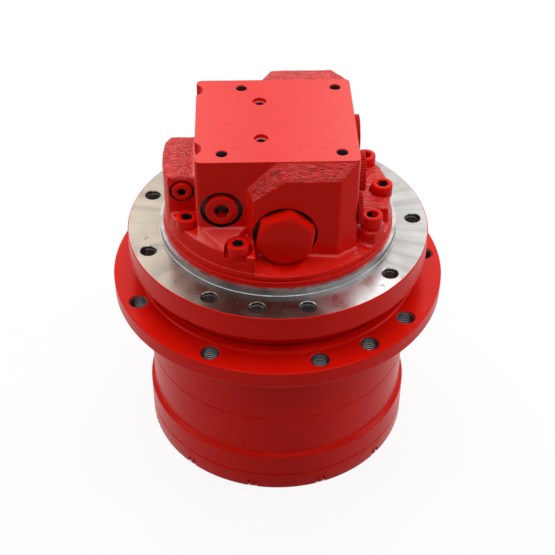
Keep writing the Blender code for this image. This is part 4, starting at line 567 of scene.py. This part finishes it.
def make_ring_gear():
    """The teeth inside the hub, as involutes, on the ring that the hub carries."""
    module, count, pressure, thinning = 2.4, 72, radians(25), 0.07
    flank_radii = (84.0, 85.4, 86.9, 88.2, 89.4)
    pitch_r = module * count / 2
    base_r = pitch_r * cos(pressure)
    points = []
    for i in range(count):
        centre = 2 * pi * i / count
        for side in (-1, 1):
            for radius in flank_radii[::-side]:
                flank = acos(base_r / radius)
                half = (pi / (2 * count) + (tan(pressure) - pressure) - (tan(flank) - flank)
                        + thinning / pitch_r)
                points.append((radius * cos(centre + side * half), radius * sin(centre + side * half)))
    rim = [(RING_R * cos(atan2(y, x)), RING_R * sin(atan2(y, x))) for x, y in points]
    total = len(points)
    loops = ((points, RING_LOW), (points, RING_HIGH), (rim, RING_HIGH), (rim, RING_LOW))
    verts = [(x, y, z) for loop, z in loops for x, y in loop]
    faces = []
    for k in range(len(loops)):
        a, b = k * total, ((k + 1) % len(loops)) * total
        faces += [(a + i, a + (i + 1) % total, b + (i + 1) % total, b + i) for i in range(total)]
    finish(from_lists("ring_gear_teeth", verts, faces), "hub_side", GROUND, slot="red_paint")


def make_cover():
    profile = [
        (0, 18.95), (9.0, 18.95), (9.0, 11.0), (76.5, 11.0), (78.5, 19.0), (82.3, 19.0), (82.5, 18.6),
        (82.5, 16.4), (107.9, 16.4), (108.4, 16.2), (RIM_R, 15.8), (RIM_R, 2.4), (108.3, 0.9),
        (107.5, 0.0), (92.0, 0), (91.4, 0.3), (90.2, 1.7), (89.6, 2.0), (0, 2.0),
    ]
    made = revolve("cover_shell", profile, ROUND)
    pockets = [cylinder("pocket", 6.2, turn(COVER_CIRCLE, a), UP, -1, 7.2, 40) for a in COVER_ANGLES]
    combine(made, joined("pockets", pockets))
    drains = [cylinder("drain", 8.1, turn(OIL_PLUG_CIRCLE, a), UP, -1, 14, 48) for a in OIL_PLUG_ANGLES]
    combine(made, joined("drains", drains))
    finish(made, "hub_side", PAINT, "gearbox_cover", slot="red_paint", angle=15)
    for i, angle in enumerate(COVER_ANGLES):
        screw = socket_screw(f"cover_screw_{i + 1:02d}", head_r=5.0, head_h=5.9, shank_r=3.0, length=10.0,
                             key=5.0, origin=turn(COVER_CIRCLE, angle, 7.1), direction=DOWN, spin=i)
        finish(screw, "hub_side", PAINT, slot="red_paint")
    for number, angle in enumerate(OIL_PLUG_ANGLES, 1):
        plug = revolve(f"oil_plug_shell_{number}", [(0, 8.2), (8.0, 8.2), (8.0, 0.5), (7.6, 0), (0, 0)], 64)
        combine(plug, prism("well", hexagon(8.0), -1, 4.5))
        stand(soften(plug, 0.2, 2, 35), turn(OIL_PLUG_CIRCLE, angle, 2.8), UP)
        finish(plug, "hub_side", PAINT, f"oil_plug_{number}", slot="red_paint")


# Motor housing

def make_housing():
    root = [(NECK_R + NECK_FILLET * (1 - cos(a)), FRAME_BACK - NECK_FILLET + NECK_FILLET * sin(a))
            for a in np.linspace(0, pi / 2, 8)]
    profile = [
        (64.0, JOINT), (88.7, JOINT), (89.2, 203.45), (89.5, 203.0), (89.5, 199.4), (89.7, 199.2),
        (92.5, 199.2), (92.5, 194.4), (92.65, 194.0), (93.1, FRAME_FACE), (117.3, FRAME_FACE),
        (117.8, 193.55), (FRAME_FLANGE_R, 193.0), (FRAME_FLANGE_R, 174.0), (117.8, 173.4),
        (117.2, FRAME_BACK), *root[::-1],
        (NECK_R, 151.3), (101.2, 151.0), (93.0, 151.0), (93.0, 157.2), (72.0, 157.2), (72.0, 147.0),
        (65.0, 147.0), (65.0, 99.1), (62.0, 99.1), (62.0, 88.2), (40.0, 88.2), (40.0, 78.8), (14.5, 78.8),
        (14.5, 80.0), (20.1, 80.0), (20.1, 85.0), (25.1, 85.0), (25.1, 100.0), (50.0, 100.0),
        (50.0, 160.0), (60.0, 160.0), (60.0, 178.0), (64.0, 178.0),
    ]
    made = revolve("housing_shell", profile, ROUND)
    places = [turn(FRAME_CIRCLE, a) for a in FRAME_ANGLES]
    cutters = [hole_cutter(M12_R, M12_MOUTH_R, FRAME_FACE, FRAME_BACK, place, False) for place in places]
    combine(made, joined("holes", cutters))
    for paint in (PAINT, STEEL, THREAD_SHADE, FORGED):
        made.data.materials.append(paint)
    steel, thread, forged = 1, 2, 3
    for face in made.data.polygons:
        x, y, z = (c / MM for c in face.center)
        # Painted shade: the walls of the frame holes get the near-black thread material.
        if min(hypot(x - a, y - b) for a, b, _ in places) < M12_R + BORE_MARGIN and 173.3 < z < 193.2:
            face.material_index = thread
        elif 193.0 < z < 199.25 and hypot(x, y) < 117.5:
            face.material_index = forged if hypot(x, y) < 93.05 else steel
    finish(made, "frame_side", PAINT, "motor_housing", slot="flange_steel", angle=15)
    threads = [tapped("thread", M12_R, M12_PITCH, FRAME_THREAD_TOP, FRAME_THREAD_LOW, place,
                      (THREAD_SHADE, CREST_HIGHLIGHT)) for place in places]
    finish(joined("frame_hole_threads", threads), "frame_side", THREAD_SHADE, slot="flange_steel", angle=60)


# Valve body

def at(x, y, height):
    """A place by its height above the joint."""
    return (x, y, JOINT + height)


def tapered(name, outlines):
    """The volume between upright outlines, each given as y and then x and height of its points."""
    return loft(name, [at(x, y, h) for y, outline in outlines for x, h in outline])


def valve_casting():
    """The raw casting: its volumes melted together, with soft edges."""
    volumes = [
        revolve("base", [(0, JOINT + 7.4), (66, JOINT + 7.4), (88.2, JOINT + 4.0), (90.5, JOINT + 4.0),
                         (90.5, JOINT - 4), (0, JOINT - 4)], 128),
        prism("block", rounded(BLOCK_LOW, BLOCK_HIGH, 4.0), JOINT - 3, JOINT + 87.5),
        tapered("front", (
            (FRONT, ((-20.3, 2), (-20.3, 55.1), (2.5, 72.1), (42.0, 72.0), (42.0, 2))),
            (-56.0, ((-24.0, 2), (-24.0, 61.0), (-3.0, 82.9), (56.3, 82.9), (56.3, 2))))),
        tapered("back", (
            (BACK, ((-19.0, 2), (-19.0, 62.0), (-3.0, 80.2), (44.0, 80.2), (54.5, 71.5), (54.5, 2))),
            (56.0, ((-24.0, 2), (-24.0, 61.0), (-3.0, 82.0), (56.3, 82.0), (56.3, 2))))),
        prism("ear", [(-59.5, -28), (-59.5, 28), (-82.6, 28), (-86.4, 20), (-87.6, 6), (-87.6, -6),
                      (-86.4, -20), (-82.6, -28)], JOINT - 3, JOINT + 51.4),
        loft("apron", [at(*turn(85.6, a)[:2], h) for a in (224, 230, 236, 242) for h in (2, 19.4)]
             + [at(x, -55.5, h) for x in (-61.3, -24) for h in (2, 27)]),
    ]
    land = revolve("lands", [(0, JOINT + 19.4), (86.6, JOINT + 19.4), (87.8, JOINT + 3), (0, JOINT + 3)], 128)
    gap = [box("middle", (-19, -95, JOINT - 1), (50, 95, JOINT + 40)),
           box("near", (49.9, -95, JOINT - 1), (95, -26, JOINT + 40)),
           box("far", (49.9, 62, JOINT - 1), (95, 95, JOINT + 40))]
    for tool in gap:
        combine(land, tool)
    volumes.append(land)
    volumes.append(cylinder("lug", 11.0, turn(BODY_CIRCLE, LUG_ANGLE, JOINT), UP, 2, 15.4, 40))
    made = joined("valve_casting", volumes)
    melt = made.modifiers.new("melt", 'REMESH')
    melt.mode = 'VOXEL'
    melt.voxel_size = 1.05 * MM
    melt.adaptivity = 0.0
    smooth = made.modifiers.new("smooth", 'SMOOTH')
    smooth.factor = 0.5
    smooth.iterations = 5
    apply(made)
    return made


def cast_skin(made):
    """Marks where the casting was left rough, and lifts its ripples there."""
    mesh = made.data
    count = len(mesh.vertices)
    co = np.zeros(count * 3, np.float32)
    mesh.vertices.foreach_get("co", co)
    co = co.reshape(-1, 3) / MM
    no = np.zeros(count * 3, np.float32)
    mesh.vertex_normals.foreach_get("vector", no)
    no = no.reshape(-1, 3)
    x, y, z = co[:, 0], co[:, 1], co[:, 2] - JOINT
    r = np.hypot(x, y)

    def step(value, low, high):
        t = np.clip((value - low) / (high - low), 0, 1)
        return t * t * (3 - 2 * t)

    ear = step(-x, 63.5, 66.5) * step(z, 46, 50) * step(no[:, 2], 0.2, 0.7)
    back = step(y, 57.5, 60) * step(z, 40, 66) * step(no[:, 2], 0.1, 0.5)
    shoulder = step(-y, 56.8, 58.0) * step(z, 50, 60) * step(no[:, 2], 0.12, 0.45)
    lands = step(x, 57.2, 58.5) * step(z, 8, 13) * step(no[:, 2], 0.3, 0.8) * 0.8
    skirt = step(r, 60, 68) * step(-z, -16, -6) * 0.15
    rough = np.clip(np.maximum.reduce([ear, back, shoulder, lands, skirt]), 0, 1)
    layer = mesh.attributes.new("cast_skin", 'FLOAT', 'POINT')
    layer.data.foreach_set("value", rough.astype(np.float32))
    smear = np.zeros(count)
    for cx, cy, rx, ry in ((-46.0, -38.0, 6.5, 5.5), (-36.0, -46.5, 9.0, 5.0), (-33.0, -52.0, 10.0, 3.5)):
        smear = np.maximum(smear, 1 - step(np.hypot((x - cx) / rx, (y - cy) / ry), 0.7, 1.15))
    smear *= step(z, 82.0, 83.0)
    layer = mesh.attributes.new("smear", 'FLOAT', 'POINT')
    layer.data.foreach_set("value", smear.astype(np.float32))
    lift = np.zeros(count)
    for i in np.nonzero(rough > 0.3)[0]:
        point = Vector((x[i] / 9.0, y[i] / 3.4, z[i] / 6.0))
        bend = noise.noise(point * 0.6 + Vector((7.1, 0, 0))) * 1.5
        lift[i] = noise.noise(Vector((point.x, point.y + bend, point.z))) * 0.35 * rough[i]
    co += no * lift[:, None]
    co *= MM
    mesh.vertices.foreach_set("co", co.reshape(-1))
    mesh.update()


def upright_holes():
    """The tools for the screws' pockets and holes, and for the pad's holes and ports."""
    tools = [cylinder("pocket", 9.2, turn(BODY_CIRCLE, a, JOINT), UP, 15.4, 90, 64) for a in BODY_ANGLES]
    tools += [cylinder("screw_hole", 5.5, turn(BODY_CIRCLE, a, JOINT), UP, -2, 12, 32) for a in BODY_ANGLES]
    hole = [(0, 84), (4.9, 84), (3.95, 82.6), (3.95, 66), (0, 66)]
    tools += [revolve("pad_hole", hole, 40, at(x, y, 0)) for x, y in PAD_HOLES]
    port = [(0, 84), (5.9, 84), (5.1, 82.9), (5.1, 80.8), (3.6, 80.4), (3.1, 79.9), (3.1, 60), (0, 60)]
    tools += [revolve("pad_port", port, 40, at(PAD_PORT_X, y, 0)) for y in PAD_PORT_Y]
    return tools


def side_bores():
    """The tools for the plugs and ports in the sides, the moats round two screws and the scallops."""
    spotface = [(0, 20.5), (12, 20.5), (18, 19.8), (21, 17.5), (22.9, 12), (23.7, 4), (23.7, -1.9),
                (23.7, -4.6), (23.3, -5.0), (20.4, -5.0), (20.2, -2.0), (15.2, -2.0), (15.2, -30), (0, -30)]
    gallery = [(0, 12), (15.6, 12), (15.35, -4.6), (9.6, -4.6), (9.6, -24), (0, -24)]
    selector = [(0, 12), (9.4, 12), (9.2, -4.2), (6.1, -4.2), (6.1, -24), (0, -24)]
    moat = [(8.3, 40), (10.3, 40), (10.3, 13.4), (8.3, 13.4)]
    tools = [revolve("spotface", spotface, 72, at(HEX_PLUG_X, face, HEX_PLUG_H), (0, way, 0))
             for face, way in ((FRONT, -1), (BACK, 1))]
    tools.append(revolve("gallery", gallery, 72, at(GALLERY_X, BLOCK_LOW[1], GALLERY_H), (0, -1, 0)))
    tools.append(revolve("selector", selector, 56, at(SELECTOR_X, -28, SELECTOR_H), (0, -1, 0)))
    tools += [cylinder("port", 10.1, at(PORT_SIDE, y, MAIN_PORT_H), (1, 0, 0), -40, 6, 48)
              for y in MAIN_PORT_Y]
    tools.append(cylinder("drain", 7.1, at(PORT_SIDE, DRAIN_PORT_Y, DRAIN_PORT_H), (1, 0, 0), -14, 6, 40))
    tools += [revolve("moat", moat, 64, turn(BODY_CIRCLE, a, JOINT)) for a in MOAT_ANGLES]
    tools += [cylinder("scallop", 8.8, at(-65.2, y, 0), UP, 60, 95, 48) for y in (-38.5, 42.5)]
    return tools


def make_valve_body():
    made = valve_casting()
    cast_skin(made)
    combine(made, revolve("rim", [
        (110, JOINT + 60), (88.3, JOINT + 60), (88.0, JOINT + 4.2), (88.3, JOINT + 3.2),
        (88.8, JOINT + 1.1), (88.5, JOINT + 0.3), (88.5, JOINT - 8), (110, JOINT - 8)], ROUND))
    combine(made, box("below", (-100, -100, JOINT - 20), (100, 100, JOINT + 0.3)))
    combine(made, box("above", (-70, -62, JOINT + PAD_TOP), (60, 62, JOINT + 100)))
    combine(made, joined("holes", upright_holes()))
    for tool in side_bores():
        combine(made, tool)
    paint_casting(made)
    finish(made, "frame_side", CAST, "valve_body", slot="red_paint", angle=38)


def paint_casting(made):
    """The upper faces took the fullest coat; the deep faces of the holes and of the grooves round the plugs
    get a near-black material as painted shade.
    """
    grooves = ((HEX_PLUG_X, HEX_PLUG_H, 24.2, -64.0, -60.0), (HEX_PLUG_X, HEX_PLUG_H, 24.2, 71.0, 75.0),
               (GALLERY_X, GALLERY_H, 15.8, -55.4, -51.0), (SELECTOR_X, SELECTOR_H, 9.5, -27.0, -23.0))
    for paint in (CAST, CAST_TOP, HOLE_SHADE):
        made.data.materials.append(paint)
    skin, upper, shade_in_holes = 0, 1, 2
    for face in made.data.polygons:
        x, y, z = (c / MM for c in face.center)
        face.material_index = upper if face.normal.z > 0.3 else skin
        if any(hypot(x - a, y - b) < 4.3 for a, b in PAD_HOLES) and z < JOINT + 82.2:
            face.material_index = shade_in_holes
        if any(hypot(x - PAD_PORT_X, y - b) < 3.4 for b in PAD_PORT_Y) and z < JOINT + 80.2:
            face.material_index = shade_in_holes
        for a, h, reach, low, high in grooves:
            if low < y < high and hypot(x - a, z - JOINT - h) < reach:
                face.material_index = shade_in_holes


def make_body_screws():
    for number, angle in enumerate(BODY_ANGLES, 1):
        screw = socket_screw(f"cap_screw_{number}", head_r=8.0, head_h=10.0, shank_r=5.0, length=28.0,
                             key=8.0, origin=turn(BODY_CIRCLE, angle, JOINT + 15.7), direction=UP,
                             spin=radians(angle * 7))
        finish(screw, "frame_side", PAINT, f"valve_body_screw_{number}", slot="red_paint")


def make_hex_plugs():
    head = [(0, 10.7), (18.2, 10.7), (18.9, 10.5), (22.3, 8.4), (22.3, 0.6), (21.8, 0), (0, 0)]
    for tag, face, way, spin in (("front", FRONT, -1, 20), ("back", BACK, 1, 30)):
        plug = revolve(f"hex_plug_{tag}", head, 96)
        combine(plug, prism("key", hexagon(40.0), -1, 12, spin=radians(spin)), 'INTERSECT')
        combine(plug, cylinder("shank", 15.0, (0, 0, 0), UP, -18, 0.5, 48), 'UNION')
        soften(plug, 0.35, 2, 25)
        stand(plug, at(HEX_PLUG_X, face - way * 1.7, HEX_PLUG_H), (0, way, 0))
        finish(plug, "frame_side", PAINT, f"counterbalance_plug_{tag}", slot="red_paint", angle=20)


def make_socket_plugs():
    for name, node, head, thread, key, place, base in (
            ("gallery_socket_plug", "gallery_plug", 11.9, 9.5, 10.0, (GALLERY_X, -54.5, GALLERY_H), -2.4),
            ("selector_socket_plug", "speed_selector_plug", 7.4, 6.0, 6.0, (SELECTOR_X, -26.0, SELECTOR_H),
             -2.0)):
        plug = revolve(name, [(0, 3.9), (head - 1.1, 3.9), (head - 0.3, 3.6), (head, 2.9), (head, base),
                              (thread, base), (thread, -15), (0, -15)], 72)
        mouth = [(0, 5), (key * 0.58 + 1.1, 5), (key * 0.55, 3.6), (key * 0.5, 3.2), (0, 3.2)]
        combine(plug, revolve("mouth", mouth, 48))
        combine(plug, prism("well", hexagon(key), -3.0, 5))
        soften(plug, 0.15, 1, 35)
        darken(plug, key * 0.6, 2.6, -3.5)
        stand(plug, at(*place), (0, -1, 0))
        finish(plug, "frame_side", PAINT, node, slot="red_paint")


def make_caps():
    for name, node, y, height, radius, thick, bore, ribs in (
            ("cap_shell_a", "main_port_cap_a", MAIN_PORT_Y[0], MAIN_PORT_H, 15.0, 6.4, 10.0, 44),
            ("cap_shell_b", "main_port_cap_b", MAIN_PORT_Y[1], MAIN_PORT_H, 15.0, 6.4, 10.0, 44),
            ("cap_shell_drain", "drain_port_cap", DRAIN_PORT_Y, DRAIN_PORT_H, 12.0, 3.8, 7.0, 36)):
        outline = []
        for i in range(ribs):
            for step, r in ((0.0, radius - 1.3), (0.15, radius), (0.55, radius), (0.70, radius - 1.3)):
                a = 2 * pi * (i + step) / ribs
                outline.append((r * cos(a), r * sin(a)))
        cap = prism(name, outline, 0.3, thick)
        combine(cap, revolve("dish", [(0, thick + 1), (radius - 2.6, thick + 1), (radius - 3.0, thick - 1.2),
                                      (0, thick - 1.2)], 64))
        combine(cap, cylinder("shank", bore, (0, 0, 0), UP, -9, 1, 48), 'UNION')
        soften(cap, 0.15, 1, 40)
        stand(cap, at(PORT_SIDE, y, height), (1, 0, 0))
        finish(cap, "frame_side", CAP, node, slot="red_plastic")


def dress_inner_nodes():
    looks = {"gear_steel": GROUND, "forged_steel": FORGED, "bearing_steel": POLISHED, "bronze": BRONZE,
             "spring_steel": SPRING, "seal_iron": IRON, "black_rubber": RUBBER, "friction_lining": LINING,
             "red_paint": PAINT, "red_plastic": CAP, "flange_steel": STEEL}
    for part in frame["record"]["subparts"]:
        node = frame["nodes"][part["node"]]
        node.data.materials.clear()
        node.data.materials.append(looks[part["material_slot"]])
        shade(node)


def make_springs():
    """Each spring gets a copy of its node's mesh, in spring steel, in place of the node."""
    for name, joint, axis, fixed_end, travel in (
            ("counterbalance_spring_front", "counterbalance_spool_slide", 1, -45.0, 5.0),
            ("counterbalance_spring_back", "counterbalance_spool_slide", 1, 45.0, 5.0),
            ("speed_selector_spring", "speed_selector_slide", 1, 17.7, 3.0),
            ("brake_disc_spring", "brake_piston_slide", 2, JOINT, 1.5)):
        spring = link(f"{name}_coil", frame["nodes"][name].data.copy())
        finish(spring, "frame_side", SPRING, name, slot="spring_steel")
        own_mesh(spring)


# Floor, light and camera

def make_floor():
    """A floor that looks nearly white to the camera, apart from the part under the drive."""
    n = Nodes("studio_floor")
    tree = n.tree
    seen = n.add('ShaderNodeLightPath')
    white = n.add('ShaderNodeEmission')
    white.inputs['Color'].default_value = (1, 1, 1, 1)
    white.inputs['Strength'].default_value = 1.0
    bounced = n.math('ADD', seen.outputs['Is Glossy Ray'], seen.outputs['Is Transmission Ray'])
    shown = n.math('ADD', seen.outputs['Is Camera Ray'], bounced, clamp=True)
    n.wire(n.shader.inputs['Base Color'], n.mix(shown, (0.36, 0.36, 0.36), (0.97, 0.97, 0.97)))
    n.shader.inputs['Roughness'].default_value = 0.9
    n.shader.inputs['Specular IOR Level'].default_value = 0.1
    reach = n.plan()[2]
    mixed = n.add('ShaderNodeMixShader')
    tree.links.new(n.math('MULTIPLY', shown, n.ramp(reach, 0.1055, 0.1085, 0.0, 0.9)), mixed.inputs[0])
    tree.links.new(n.shader.outputs[0], mixed.inputs[1])
    tree.links.new(white.outputs[0], mixed.inputs[2])
    tree.links.new(mixed.outputs[0], tree.nodes["Material Output"].inputs['Surface'])
    corners = [(x * FLOOR_REACH, y * FLOOR_REACH, FLOOR_Z) for x, y in ((-1, -1), (1, -1), (1, 1), (-1, 1))]
    floor = from_lists("floor", corners, [(0, 1, 2, 3)])
    floor.data.materials.append(n.material)


def make_world():
    """White where the camera, a reflection or a clear piece sees it, and a dim fill otherwise."""
    world = bpy.data.worlds.new("studio")
    bpy.context.scene.world = world
    world.use_nodes = True
    nodes, links = world.node_tree.nodes, world.node_tree.links
    path = nodes.new('ShaderNodeLightPath')
    fill = nodes["Background"]
    fill.inputs['Color'].default_value = (0.95, 0.97, 1.0, 1)
    fill.inputs['Strength'].default_value = 0.16
    bright = nodes.new('ShaderNodeBackground')
    bright.inputs['Color'].default_value = (1, 1, 1, 1)
    bright.inputs['Strength'].default_value = 1.0
    rays = nodes.new('ShaderNodeMath')
    rays.operation = 'ADD'
    links.new(path.outputs['Is Camera Ray'], rays.inputs[0])
    links.new(path.outputs['Is Glossy Ray'], rays.inputs[1])
    share = nodes.new('ShaderNodeMath')
    share.operation = 'ADD'
    share.use_clamp = True
    links.new(rays.outputs[0], share.inputs[0])
    links.new(path.outputs['Is Transmission Ray'], share.inputs[1])
    both = nodes.new('ShaderNodeMixShader')
    links.new(share.outputs[0], both.inputs[0])
    links.new(fill.outputs[0], both.inputs[1])
    links.new(bright.outputs[0], both.inputs[2])
    links.new(both.outputs[0], nodes["World Output"].inputs['Surface'])


def soft_light(name, place, size, watts, colour=(1, 1, 1), target=(0, 0, 150)):
    lamp = bpy.data.lights.new(name, 'AREA')
    lamp.shape = 'RECTANGLE'
    lamp.size, lamp.size_y = size[0] * MM, size[1] * MM
    lamp.energy = watts
    lamp.color = colour
    made = bpy.data.objects.new(name, lamp)
    bpy.context.scene.collection.objects.link(made)
    made.location = Vector(place) * MM
    made.rotation_euler = (Vector(target) - Vector(place)).to_track_quat('-Z', 'Y').to_euler()
    return made


def make_lights():
    soft_light("ceiling", (0, 150, 1500), (1400, 1100), 10.5)
    soft_light("back_panel_left", (-850, 1600, 1500), (1500, 1200), 13.0, (1.0, 0.95, 0.87))
    soft_light("back_panel_right", (900, 1600, 1500), (1500, 1200), 13.0, (1.0, 0.97, 0.92))
    soft_light("left_panel", (-1400, -250, 600), (500, 1100), 5.5, (1.0, 0.88, 0.74))
    soft_light("right_panel", (1400, -150, 600), (500, 1100), 6.0, (1.0, 0.97, 0.94))
    soft_light("front_panel", (250, -1000, 1750), (900, 260), 4.5)


def make_camera():
    """Stands where the photograph was taken from: its place, tilt and lens came from the flanges."""
    lens = bpy.data.cameras.new("camera")
    lens.sensor_width = 36.0
    lens.lens = FOCAL_LENGTH
    lens.clip_start = 0.05
    lens.clip_end = 50.0
    made = bpy.data.objects.new("camera", lens)
    bpy.context.scene.collection.objects.link(made)
    down, side, roll = radians(39.58), radians(2.1), radians(0.35)
    ahead = Vector((sin(side) * cos(down), cos(side) * cos(down), -sin(down)))
    right = ahead.cross(Vector((0, 0, 1))).normalized()
    up = right.cross(ahead)
    turned_right = right * cos(roll) + up * sin(roll)
    turned_up = up * cos(roll) - right * sin(roll)
    axes = Matrix((turned_right, turned_up, -ahead)).transposed()
    made.matrix_world = Matrix.Translation(Vector(CAMERA_PLACE) * MM) @ axes.to_4x4()
    bpy.context.scene.camera = made


make_camera()
make_floor()
make_world()
make_lights()
dress_inner_nodes()
make_springs()
make_hub()
make_cover()
make_housing()
make_valve_body()
make_body_screws()
make_hex_plugs()
make_socket_plugs()
make_caps()

bpy.context.scene.view_settings.view_transform = 'Standard'
bpy.context.view_layer.update()
